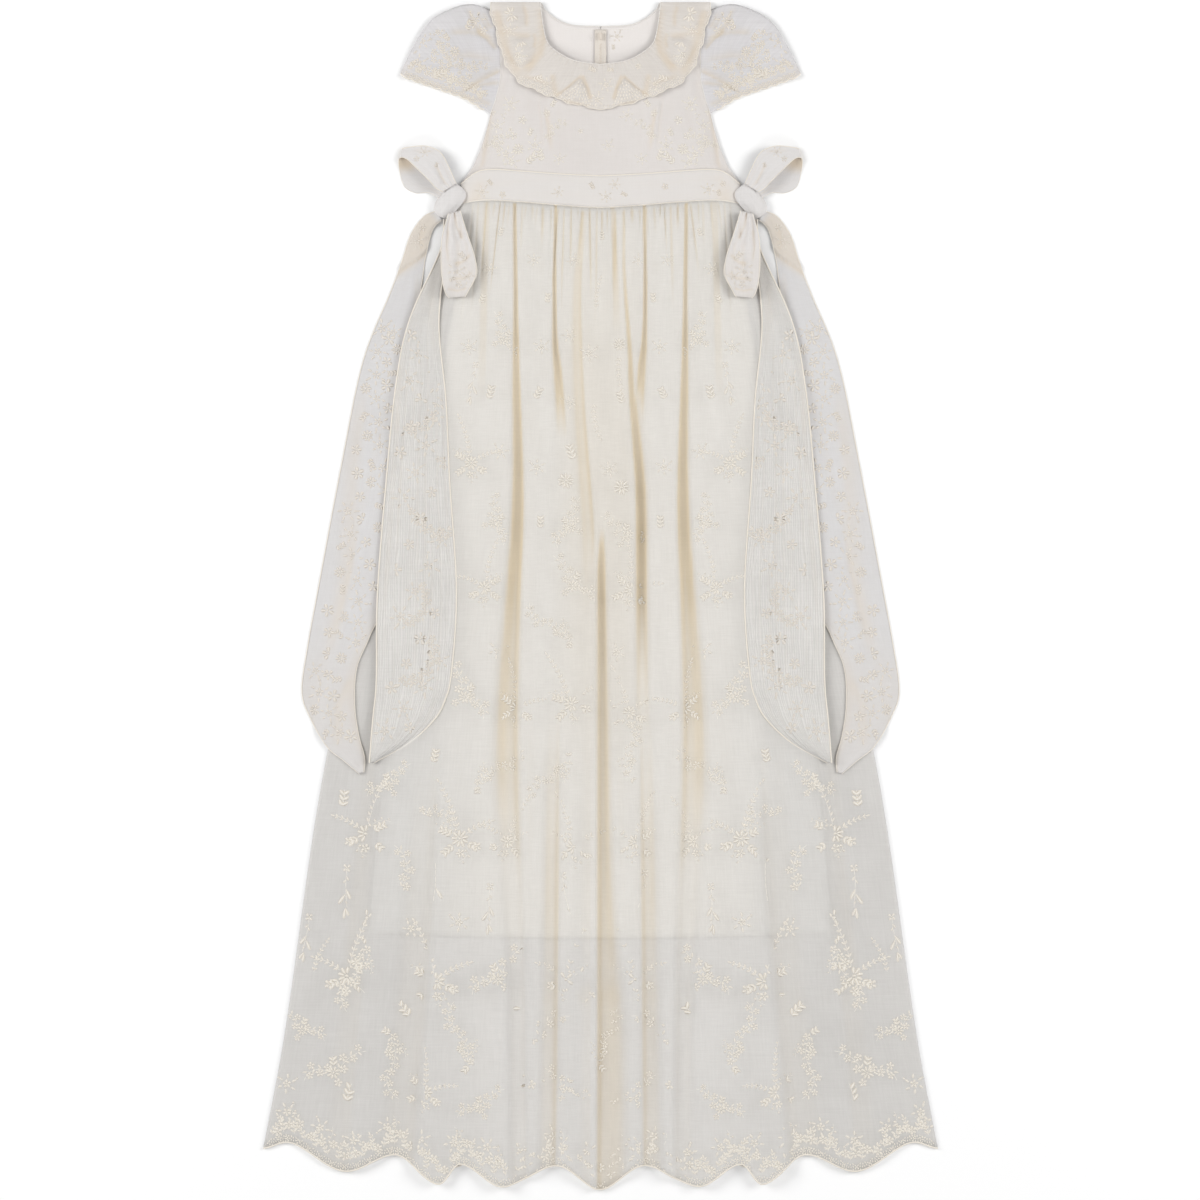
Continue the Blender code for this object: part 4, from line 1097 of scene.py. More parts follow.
    def spray(self) -> Patches:
        """The large spray: an open flower among sheaves of leaves, with tendrils and blossoms."""
        return self.star(8.5).join(
            self.leafy(46, 0.35, 8).moved(-1.5, 8, 0.12),
            self.sheaf(3).moved(-7.5, 4.5, 0.95), self.sheaf(3).moved(-7, -6, 2.1),
            self.leafy(25, -0.5, 5, 4.4).moved(6, 4, -1), self.sheaf(2).moved(7, -5, -2.2),
            self.blossom(4.8).moved(14, -8.5), self.berries(20, 1.5).moved(-4.5, 7, 0.6),
            self.blossom(4.2).moved(-1, -13), self.berries(13, -1.2, 4).moved(6, -12, 2.8))

    def hook(self) -> Patches:
        """A spray that turns back on itself, with an open flower at its bend."""
        return self.star(6.4, 8).join(self.chain(30, -0.9, 4).moved(3, 6, -0.1),
            self.chain(26, 1.9, 4).moved(-5, -2, 1.6), self.sheaf(2).moved(-3, 6, 0.6), self.blossom(4).moved(8, -6))

    def trail(self) -> Patches:
        """A long winding chain of blossoms, dots and leaf pairs."""
        return self.chain(34, 1.3, 5).join(self.chain(34, -1.5, 5).moved(-18, 27, 0.85),
            self.blossom(4.6, 6).moved(-9, 12), self.sheaf(2).moved(2, -4, 2.6),
            self.berries(18, 1.2).moved(3, 8, -0.5))

    def posy(self) -> Patches:
        """A small cluster of leaves round a flower."""
        made = self.blossom(4)
        for index in range(6):
            angle = 0.5 + index * 1.05
            made.add(*ahead(0, 0, angle, 4.6), angle + 0.25, 5, 2.6, Stitch.LEAF)
        return made.join(self.berry(1.2).moved(8, 6.5), self.berry(1.1).moved(-8.5, 4))

    def fan(self, radius: float = 13, rows: int = 5, spread: float = 1.9) -> Patches:
        """A close fan of seed stitches below its start.

        Args:
            radius: its reach.
            rows: rows of stitches.
            spread: its angle.

        Returns:
            The fan.
        """
        made = Patches()
        for row in range(1, rows + 1):
            reach, step = radius * row / rows, radius / rows
            count = max(2, round(spread * reach / step * 1.1) + 1)
            for index in range(count):
                angle = -math.pi / 2 + (index - (count - 1) / 2) * spread / count
                made.add(*ahead(0, 0, angle, reach), angle, step * 0.9, step * 0.6, Stitch.PETAL)
        return made


MOTIFS = Motifs()
Layout = tuple[tuple[str, float, float, float, float], ...]


def lay_out(table: Layout, sides: Sequence[int] = (1, -1)) -> Patches:
    """Places motifs on the plan.

    Args:
        table: each motif's name, distance across, height, turn and size.
        sides: 1 for the table as it is, and -1 for its mirror image.

    Returns:
        All the shapes.
    """
    made = Patches()
    for side in sides:
        for index, (kind, x, y, turn, size) in enumerate(table):
            motif = getattr(MOTIFS, kind)().moved(0, 0, turn, size, index % 2 == 1).moved(x, y)
            made.join(motif.on(side))
    return made


@dataclass
class Embroidery:
    """All the satin-stitched shapes of one piece of cloth, joined into one mesh."""

    name: str
    cloth: Cloth
    patches: Patches
    # Share of the deep colour painted as shade on each pad's rim.
    rim_share: float = 0.8
    rib: Numbers = (0, 0.14, 0.36, 0.62, 0.86, 1)

    def build(self, finish: Finish, slot: str = "voile") -> Piece:
        """Lays each shape on the cloth as a low rounded pad with a closed underside.

        Args:
            finish: the thread.
            slot: not used.

        Returns:
            The piece.
        """
        rows = self.patches.rows
        start = np.array([row[:2] for row in rows])
        angle, length, width, rise = np.array([row[2:6] for row in rows]).T
        profile = np.array([row[6].value for row in rows])
        along, across, tall = [], [], []
        for station, share in enumerate(self.rib):
            flanks = (0,) if station in (0, len(self.rib) - 1) else (-0.5, 0, 0.5)
            for flank in flanks:
                along.append(np.full(len(rows), share))
                across.append(flank * profile[:, station])
                crown = 1 if flank == 0 and len(flanks) > 1 else 0
                tall.append(np.full(len(rows), crown) * (0.75 if station in (1, 4) else 1))
        along = np.array(along).T * length[:, None]
        across = np.array(across).T * width[:, None]
        lift = np.array(tall).T * rise[:, None] - 0.12
        x = start[:, :1] + along * np.cos(angle)[:, None] - across * np.sin(angle)[:, None]
        y = start[:, 1:] + along * np.sin(angle)[:, None] + across * np.cos(angle)[:, None]
        share_across, share_down = self.cloth.find(x, y)
        inside = ((share_across >= 0) & (share_across <= 1) & (share_down >= 0) & (share_down <= 1)).all(axis=1)
        place = self.cloth.lay(share_across, share_down, lift)
        inside &= np.ptp(place[..., 2] - lift, axis=1) < 1.3
        place, along, across, rim = place[inside], along[inside], across[inside], (lift <= 0)[inside]
        count, each = place.shape[:2]
        faces = self.faces()
        corners = (faces[None] + (np.arange(count) * each)[:, None, None]).reshape(-1, 3)
        facing = np.cross(place[:, faces[0, 1]] - place[:, faces[0, 0]], place[:, faces[0, 2]] - place[:, faces[0, 0]])
        if facing[:, 2].mean() < 0:
            corners = corners[:, ::-1]
        mesh = bpy.data.meshes.new(self.name)
        mesh.vertices.add(count * each)
        mesh.vertices.foreach_set("co", (place * MM).ravel())
        mesh.loops.add(corners.size)
        mesh.loops.foreach_set("vertex_index", corners.ravel())
        mesh.polygons.add(len(corners))
        mesh.polygons.foreach_set("loop_start", np.arange(0, corners.size, 3))
        chart(mesh, *(values.ravel()[corners.ravel()] * MM for values in (along, across)))
        # Painted shade: the rim vertices take the deep colour through the edge attribute.
        mark(mesh, "edge", rim.ravel() * self.rim_share)
        mesh.update()
        return place_mesh(self.name, mesh, finish)

    def faces(self) -> Array:
        """Triangles of one shape: its rounded top, and a flat underside."""
        stations = len(self.rib) - 2
        left = [1 + 3 * index for index in range(stations)]
        last = 3 * stations + 1
        made = []
        for flank in (0, 1):
            first = left[0] + flank
            made.append((0, first, first + 1))
            end = left[-1] + flank
            made.append((last, end + 1, end))
            for index in left[:-1]:
                a, b = index + flank, index + flank + 1
                made.append((a, a + 3, b + 3))
                made.append((a, b + 3, b))
        rim = [0, *(index + 2 for index in left), last, *(index for index in reversed(left))]
        made.extend((rim[0], rim[index], rim[index + 1]) for index in range(1, len(rim) - 1))
        return np.array(made)


def make_cord(name: str, lines: Sequence[Array], radius: float, finish: Finish) -> Piece:
    """A round cord along each line of points, made with a bevelled curve and turned into a mesh.

    Args:
        name: the piece's name.
        lines: points of each cord, in millimetres.
        radius: the cord's radius in millimetres.
        finish: its finish.

    Returns:
        The cord's object.
    """
    curve = bpy.data.curves.new(name + "_line", "CURVE")
    curve.dimensions = "3D"
    curve.bevel_depth = radius * MM
    curve.bevel_resolution = 1
    curve.use_fill_caps = True
    for line in lines:
        spline = curve.splines.new("POLY")
        spline.points.add(len(line) - 1)
        spline.points.foreach_set("co", np.concatenate([line * MM, np.ones((len(line), 1))], axis=1).ravel())
    holder = add_object(name + "_line", curve)
    mesh = bpy.data.meshes.new_from_object(holder.evaluated_get(bpy.context.evaluated_depsgraph_get()))
    mesh.name = name
    bpy.data.objects.remove(holder)
    place, corner = read_mesh(mesh)
    return place_mesh(name, chart(mesh, place[corner, 0] + place[corner, 1], place[corner, 2]), finish)


def sewing_row(line: Sequence[Pair], step: float = 2.6) -> Patches:
    """Short stitches along a line of the plan.

    Args:
        line: points of the line.
        step: distance from one stitch to the next.

    Returns:
        The stitches.
    """
    made = Patches()
    points = np.array(line, float)
    at = np.concatenate([[0], np.cumsum(np.hypot(*np.diff(points, axis=0).T))])
    for place in np.arange(0, at[-1] - step, step):
        x, y = np.interp(place, at, points[:, 0]), np.interp(place, at, points[:, 1])
        after = place + 0.7 * step
        dx, dy = np.interp(after, at, points[:, 0]) - x, np.interp(after, at, points[:, 1]) - y
        made.add(float(x), float(y), math.atan2(dy, dx), 0.7 * step, 0.55, Stitch.STEM, 0.28)
    return made


@dataclass
class Skirt:
    """The gathered skirt: a front and a back panel, their hem cords and their embroidery."""

    columns: int = 300
    rows: int = 118
    back_columns: int = 80
    back_rows: int = 60
    crowd: float = 1.25
    cut: Pair = (0.66, 0.90)
    cut_area: float = 0.50
    paired: Layout = (
        ("spray", 228, -343, 0.1, 1.05), ("spray", 147, -347, -0.1, 1.05), ("spray", 31, -345, 0.1, 0.9),
        ("hook", 92, -345, 0.2, 1), ("trail", 213, -318, 3, 0.95), ("trail", 120, -420, 0.2, 0.9),
        ("trail", 189, -398, 2.6, 0.9), ("hook", 240, -430, 0.5, 1), ("sheaf", 228, -455, 0.2, 1.3),
        ("spray", 157, -447, 0.2, 0.85), ("chain", 57, -402, 0.2, 1), ("posy", 62, -440, 0.4, 1.1),
        ("hook", 268, -392, -0.3, 0.8), ("hook", 108, -462, 0.4, 0.8), ("sheaf", 84, -380, 0.6, 1.2),
        ("posy", 282, -440, 0.2, 1), ("leafy", 258, -340, 0.2, 0.8), ("sheaf", 172, -378, -0.7, 1.2),
        ("spray", 211, -215, 0.1, 1), ("spray", 126, -219, -0.1, 1), ("spray", 84, -222, 0.2, 0.8),
        ("drops", 228, -246, 0.1, 1), ("drops", 148, -240, -0.05, 1), ("drops", 99, -262, 0.1, 0.95),
        ("drops", 262, -290, 0.1, 0.9), ("star", 210, -290, 0, 1), ("posy", 127, -294, 0, 1),
        ("chain", 178, -262, 0.5, 1), ("posy", 170, -300, 0.5, 0.9), ("sheaf", 232, -190, 0.2, 1.2),
        ("hook", 122, -92, 0.1, 0.95), ("spray", 75, -102, 0.1, 0.8), ("trail", 108, -170, 0.4, 0.8),
        ("hook", 190, -172, 0.3, 0.8), ("chain", 160, -196, 1.2, 0.8), ("sheaf", 150, -150, 0.3, 1),
        ("spray", 104, 6, 0, 0.8), ("posy", 92, -50, 0.3, 0.9), ("hook", 96, 64, 0.4, 0.8),
        ("spray", 116, 118, 0, 0.8), ("posy", 90, 128, 0.3, 0.8), ("sheaf", 100, 176, 0.3, 1),
        ("hook", 88, 228, 0.2, 0.75), ("posy", 118, 222, 0, 0.8), ("drops", 112, 206, 0.1, 0.8),
        ("posy", 100, 292, 0.5, 0.65), ("sheaf", 90, 322, 0.2, 0.6), ("sheaf", 108, 262, 0.5, 0.7),
        ("posy", 60, 300, 0, 0.6), ("posy", 53, 222, 0, 0.75), ("sheaf", 58, 176, 0.4, 0.9),
        ("sheaf", 48, 262, 0.2, 0.7), ("posy", 57, 114, 0, 0.8), ("sheaf", 54, 60, 0.1, 0.9))
    single: Layout = (
        ("spray", -24, -226, 0.05, 0.9), ("spray", 31, -222, -0.1, 0.85), ("drops", -34, -252, 0.1, 1),
        ("drops", 40, -250, -0.1, 0.9), ("spray", -26, -98, 0.2, 0.9), ("trail", -30, -150, 2.8, 0.75),
        ("spray", 26, -106, 0.1, 0.8), ("trail", 26, -160, 0.4, 0.75), ("spray", 27, 4, -0.2, 0.85),
        ("hook", -25, 8, 0.1, 0.9), ("trail", -30, -40, 0.4, 0.75), ("posy", 14, -52, 0.2, 0.9),
        ("star", -31, 102, 0, 1), ("sheaf", -24, 122, 0.4, 1.1), ("star", 19, 96, 0, 1),
        ("posy", 8, 112, 0.3, 0.8), ("hook", -26, 60, 0.2, 0.8), ("hook", 22, 52, 0.4, 0.8),
        ("posy", -10, 216, 0, 0.9), ("star", 17, 224, 0, 0.8), ("leafy", 17, 214, 3, 0.8),
        ("leafy", -3, 256, 0.1, 0.7), ("posy", -28, 232, 0.4, 0.7), ("sheaf", 2, 318, 0.2, 0.6),
        ("posy", 34, 300, 0.9, 0.55), ("posy", -24, 300, 0.9, 0.6), ("leafy", -6, 172, 3.1, 0.8),
        ("posy", -28, 172, 0.2, 0.7), ("sheaf", 20, 172, 0.3, 0.9), ("trail", 0, -420, 0.2, 0.8),
        ("posy", -8, -360, 0.2, 0.9), ("hook", -30, -446, 0.3, 0.8), ("hook", 30, -452, -0.3, 0.8))

    def panel(self, name: str, columns: int, rows: int, middle: Callable[[Array, Array], Array | float],
            front: bool) -> Cloth:
        """One panel between the waist seam and the scalloped hem.

        Args:
            name: the piece's name.
            columns, rows: of its grid.
            middle: gives the height of its wall's middle.
            front: whether it is the front one, with folds.

        Returns:
            The panel.
        """
        share, depth = np.meshgrid(np.linspace(-1, 1, columns + 1), np.linspace(0, 1, rows + 1) ** self.crowd)
        top, bottom = FORM.skirt_ends(share)
        y = blend(top, bottom, depth)
        x = FORM.skirt_across(share, y)
        level = middle(x, y)
        # Painted shade: the front takes the deep colour in its fold troughs, weaker towards the sides and lower down,
        # with a little more round the middle of the upper skirt; the back takes its light deep colour towards the
        # middle, easing its painted shade there.
        reach = blend(60, 160, ease(-330, -60, y))
        reach = blend(0.5, 1, ease(-60, 100, y)) * (1 - 0.85 * ease(0.6, 1, np.abs(x) / reach))
        fold = (1 - FORM.troughs(FOLDS, x, y)) ** 1.1 * reach
        fold = fold + 0.16 * bump(x, 0, 36, 36, 4) * bump(y, 90, 230, 190, 4)
        middle = 0.9 * (1 - ease(90, 230, np.abs(x)))
        fold, hollow_shade_strength = (fold, 0.7 * reach) if front else (middle, 0)
        return Cloth(name, (x, y, level), self.cut, 0.45, fold, hollow=(5, 0.9, hollow_shade_strength))

    def border(self) -> Patches:
        """Close work along the hem: fans, leaves and flowers that follow the scallops."""
        made = Patches()
        for index, x in enumerate(np.arange(-295, 296, 10)):
            level = float(FORM.hem(np.array(x)))
            lean = math.atan(float(FORM.hem(np.array(x + 2)) - FORM.hem(np.array(x - 2))) / 4)
            made.join(MOTIFS.fan(7, 3, 2.2).moved(x, level + 9, lean),
                MOTIFS.blossom(4.2, 5 + index % 2).moved(x + 5, level + 12.5 + 3 * (index % 3)),
                MOTIFS.leafy(15, 0.9 if index % 2 else -0.9, 4, 4.6).moved(x, level + 9, -lean / 2))
            if index % 3 == 1:
                made.join(MOTIFS.posy().moved(x + 3, level + 27, 0.3 * index))
            elif index % 3 == 2:
                made.join(MOTIFS.berries(14, 1.2, 4).moved(x, level + 22, 0.4 * (index % 5) - 0.8))
        return made

    def build(self) -> None:
        """Makes both panels, the cords round their hems and the embroidery."""
        front = self.panel("skirt_front", self.columns, self.rows, FORM.skirt, True)
        back = self.panel("skirt_back", self.back_columns, self.back_rows, lambda x, y: FORM.back_lie, False)
        cords = [make_cord("skirt_front_hem_cord", [front.edge(down=1, count=500)], 0.75, WEAR.cord),
            make_cord("skirt_back_hem_cord", [back.edge(down=1, count=400, lift=0.25)], 0.5, WEAR.cord)]
        layout = lay_out(self.paired).join(lay_out(self.single, (1,)))
        sprays = Embroidery("skirt_sprays", front, layout).build(WEAR.thread)
        border = Embroidery("skirt_hem_border", front, self.border()).build(WEAR.thread)
        front_piece = front.build(WEAR.skirt)
        back_piece = back.build(WEAR.skirt_back)
        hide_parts("front_skirt")
        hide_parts("back_skirt")


@dataclass
class Lining:
    """The opaque underskirt, whose hem shows through the sheer one."""

    columns: int = 40
    rows: int = 40
    cut: Pair = (0.42, 0.66)
    cut_area: float = 0.215
    hem_depth: float = 12

    def panel(self, name: str, middle: float, rise: float) -> Cloth:
        """One lining panel, with soft lengthwise waves.

        Args:
            name: the piece's name.
            middle: height of its wall's middle.
            rise: height of its waves.

        Returns:
            The panel.
        """
        down = np.concatenate([np.linspace(0, 0.978, self.rows - 3), (0.982, 0.986, 0.993, 1)])
        share, down = np.meshgrid(np.linspace(-1, 1, self.columns + 1), down)
        top = FORM.waist.read(np.abs(share) * FORM.lining_waist) + 2
        y = blend(top, FORM.lining_bottom(share * FORM.lining_width), down)
        x = share * FORM.lining_half(y)
        wave = rise * (0.5 + 0.5 * np.sin(x / 14 + y / 160)) * (1 - np.abs(share) ** 4)
        doubled = 0.18 * ease(0.98, 0.984, down)
        # Painted shade: the lining takes its deep colour towards its sides, in its lower part.
        side_shade = 0.25 * ease(96, 118, np.abs(x)) + 0.75 * ease(132, 156, np.abs(x))
        return Cloth(name, (x, y, middle + wave + doubled), self.cut, 0.35,
            side_shade * (1 - ease(-140, -50, y)))

    def build(self) -> None:
        """Makes both panels, each with the sewing of its hem."""
        for name, node, layer in (("skirt_lining_back", "back_lining", 1), ("skirt_lining_front", "front_lining", 2)):
            cloth = self.panel(name, FORM.wall / 2 + layer * FORM.layer - 0.2, 0.25)
            piece = cloth.build(WEAR.lining, "lining")
            line = [(x, float(FORM.lining_bottom(np.array(x))) + self.hem_depth) for x in np.linspace(-200, 200, 60)]
            sewing = Embroidery(name + "_hem_sewing", cloth, sewing_row(line)).build(WEAR.sewing, "lining")
            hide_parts(node)


@dataclass
class Bodice:
    """The bodice's front and two back panels, and the waistband under them."""

    columns: int = 120
    rows: int = 72
    band_rows: int = 14
    neck_share: float = 9 / 14
    front_neck: Route = Route((0, 22, 36, 47, 51, 54), (475.7, 479, 485.5, 495, 508, 530))
    back_neck: Route = Route((0, 27, 42, 54), (511, 512.5, 519, 530))
    front_cut: Pair = (0.26, 0.165)
    back_cut: Pair = (0.13, 0.165)
    band_cut: Pair = (0.255, 0.034)
    back_band_cut: Pair = (0.127, 0.034)
    paired: Layout = (
        ("star", 74, 400, 0.2, 0.75), ("posy", 85, 396, 0.4, 0.85), ("posy", 59, 403, 1, 0.8),
        ("sheaf", 66, 388, 0.9, 0.9), ("posy", 80, 388, 0.2, 0.8), ("hook", 94, 404, 0.5, 0.6),
        ("sheaf", 52, 390, -0.4, 0.8), ("posy", 81, 441, 0.4, 0.75), ("blossom", 70, 426, 0, 1),
        ("posy", 93, 421, 0.2, 0.7), ("chain", 46, 410, 0.2, 0.6), ("blossom", 48, 432, 0, 0.8),
        ("sheaf", 44, 438, 0.5, 0.6), ("posy", 37, 391, 0.2, 0.6), ("blossom", 97, 434, 0, 0.8),
        ("berries", 88, 428, 0.2, 0.7), ("sheaf", 64, 412, 0.3, 0.6), ("blossom", 78, 412, 0, 0.9))
    single: Layout = (("posy", 7, 403, 0.3, 0.6), ("posy", 24, 430, 0.9, 0.65), ("blossom", -18, 416, 0, 0.6))
    band_layout: Layout = (
        ("posy", -106, 362, 0.3, 0.65), ("sheaf", -97, 368, 0.8, 0.5), ("blossom", -88, 359, 0.2, 0.8),
        ("posy", -38, 361, 0.9, 0.55), ("sheaf", -6, 364, 0.5, 0.55), ("posy", 5, 357, 0.2, 0.6),
        ("posy", 13, 368, 0.4, 0.55), ("sheaf", 24, 358, 1.2, 0.5), ("blossom", 58, 366, 0.1, 0.8),
        ("posy", 97, 364, 0.3, 0.65), ("sheaf", 107, 358, 0.2, 0.5), ("blossom", 110, 369, 0.6, 0.7))

    def plan(self, share: Array, up: Array, neck: Route, centre: float) -> Arrays:
        """Points of half a panel, between its bottom seam and its neckline or shoulder.

        Args:
            share: share across it, from the centre.
            up: share up it.
            neck: its neckline.
            centre: where its inner edge runs.

        Returns:
            Distance from the centre line, and height.
        """
        bottom = blend(centre, FORM.band_half, share)
        low = FORM.band_top.read(bottom) + FORM.seam / 2
        neck_x, neck_y = neck.point(np.clip(share / self.neck_share, 0, 1))
        along = np.clip((share - self.neck_share) / (1 - self.neck_share), 0, 1)
        beside = share > self.neck_share
        top_x = np.where(beside, blend(FORM.neck_half, FORM.shoulder_half, along), neck_x)
        top_y = np.where(beside, blend(FORM.shoulder_top, FORM.armhole_top, along), neck_y)
        bend = FORM.bodice_half(blend(FORM.band_side_top, FORM.armhole_top, up))
        bend = bend - blend(FORM.band_half, FORM.shoulder_half, up)
        x = blend(bottom, np.maximum(top_x, centre), up) + bend * share**3
        return x, blend(low, top_y, up)

    def build(self) -> None:
        """Makes the panels, the bands, their piping and their sewing."""
        share, up = np.meshgrid(np.linspace(-1, 1, self.columns + 1), np.linspace(1, 0, self.rows + 1))
        x, y = self.plan(np.abs(share), up, self.front_neck, 0)
        rise, dip = relief(BODICE_CREASES, x, y)
        x = np.sign(share) * x
        soft = 0.3 * np.sin(x / 13) * np.sin(y / 21 + 0.7) * (1 - ease(440, 500, y))
        level = FORM.bodice(x, y) + rise + soft
        # Painted shade: the deep colour fills the creases' troughs.
        front = Cloth("bodice_front", (x, y, level), self.front_cut, 0.5, 0.4 * dip)
        piece = front.build(WEAR.bodice)
        neck = np.linspace(0.5 - self.neck_share / 2, 0.5 + self.neck_share / 2, 160)
        edge = front.lay(neck, np.zeros(160), np.full(160, -0.2))
        facing = make_cord("bodice_neck_edge", [edge], 0.5, WEAR.sewing)
        layout = lay_out(self.paired).join(lay_out(self.single, (1,)))
        sprays = Embroidery("bodice_sprays", front, layout).build(WEAR.thread)
        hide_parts("front_bodice")
        for side in Side:
            self.back_panel(side)
        self.bands()

    def back_panel(self, side: Side) -> None:
        """One back panel, with the sewing beside the zip and round the neck."""
        share, up = np.meshgrid(np.linspace(0, 1, 50), np.linspace(1, 0, 50))
        x, y = self.plan(share, up, self.back_neck, FORM.seam / 2)
        lie = FORM.back_lie + FORM.back_rise(x, y)
        cloth = Cloth(f"bodice_back_{side.label}", (side.value * x, y, lie), self.back_cut, 0.5)
        piece = cloth.build(WEAR.inside)
        edge = cloth.lay(np.linspace(0, self.neck_share, 60), np.zeros(60), np.full(60, -0.15))
        facing = make_cord(f"bodice_back_neck_edge_{side.label}", [edge], 0.45, WEAR.sewing)
        rows = sewing_row([(side.value * x, 508 + 0.03 * max(x - 20, 0) ** 1.6) for x in range(3, 36, 3)])
        rows.join(sewing_row([(side.value * 8.2, y) for y in (380, 507)]))
        if side is Side.RIGHT:
            rows.join(lay_out((("posy", 15, 502, 0.4, 0.6), ("sheaf", 12, 490, 0.2, 0.4)), (1,)))
        sewing = Embroidery(f"bodice_back_sewing_{side.label}", cloth, rows).build(WEAR.shade_thread)
        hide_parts(f"back_bodice_{side.label}")

    def bands(self) -> None:
        """The front waistband with piping along both edges, and the two back ones."""
        share, up = np.meshgrid(np.linspace(-1, 1, 170), np.linspace(1, 0, self.band_rows + 1))
        x = share * FORM.band_half
        low, top = FORM.waist.read(np.abs(x)) + 0.3, FORM.band_top.read(np.abs(x)) - 0.15
        y = blend(low, top, up)
        tension = 0.25 * np.sin(y / 2.6 + np.sin(x / 23) * 1.4) * (0.3 + 0.7 * share**2)
        tension = tension - 0.5 * bump(np.abs(x), 108, 9, 5) * up
        lie = FORM.band(x, y) + 0.3 + tension * np.sin(math.pi * up)
        # Painted shade: the deep colour comes in near the band's ends beside the bow knots, more towards its lower
        # edge.
        front = Cloth("waistband_front", (x, y, lie), self.band_cut, 0.8,
            0.35 * bump(np.abs(x), 112, 8, 8) * (1 - up))
        piece = front.build(WEAR.band)
        piping = make_cord("waistband_piping", [front.edge(down=0, lift=-0.25), front.edge(down=1, lift=-0.25)], 0.8,
            WEAR.cord)
        made = lay_out(self.band_layout, (1,))
        for line, edge in ((-2.2, FORM.band_top), (2.2, FORM.waist)):
            made.join(sewing_row([(x, float(edge.read(np.array(abs(x)))) + line) for x in np.linspace(-123, 123, 90)]))
        sprays = Embroidery("waistband_work", front, made).build(WEAR.shade_thread)
        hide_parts("front_waistband")
        for side in Side:
            share, up = np.meshgrid(np.linspace(0, 1, 60), np.linspace(1, 0, 9))
            x = blend(FORM.seam / 2, FORM.band_half, share)
            y = blend(FORM.waist.read(x) + 0.3, FORM.band_top.read(x) - 0.15, up)
            cloth = Cloth(f"waistband_back_{side.label}", (side.value * x, y, FORM.back_lie),
                self.back_band_cut, 0.5)
            piece = cloth.build(WEAR.band)
            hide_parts(f"back_waistband_{side.label}")


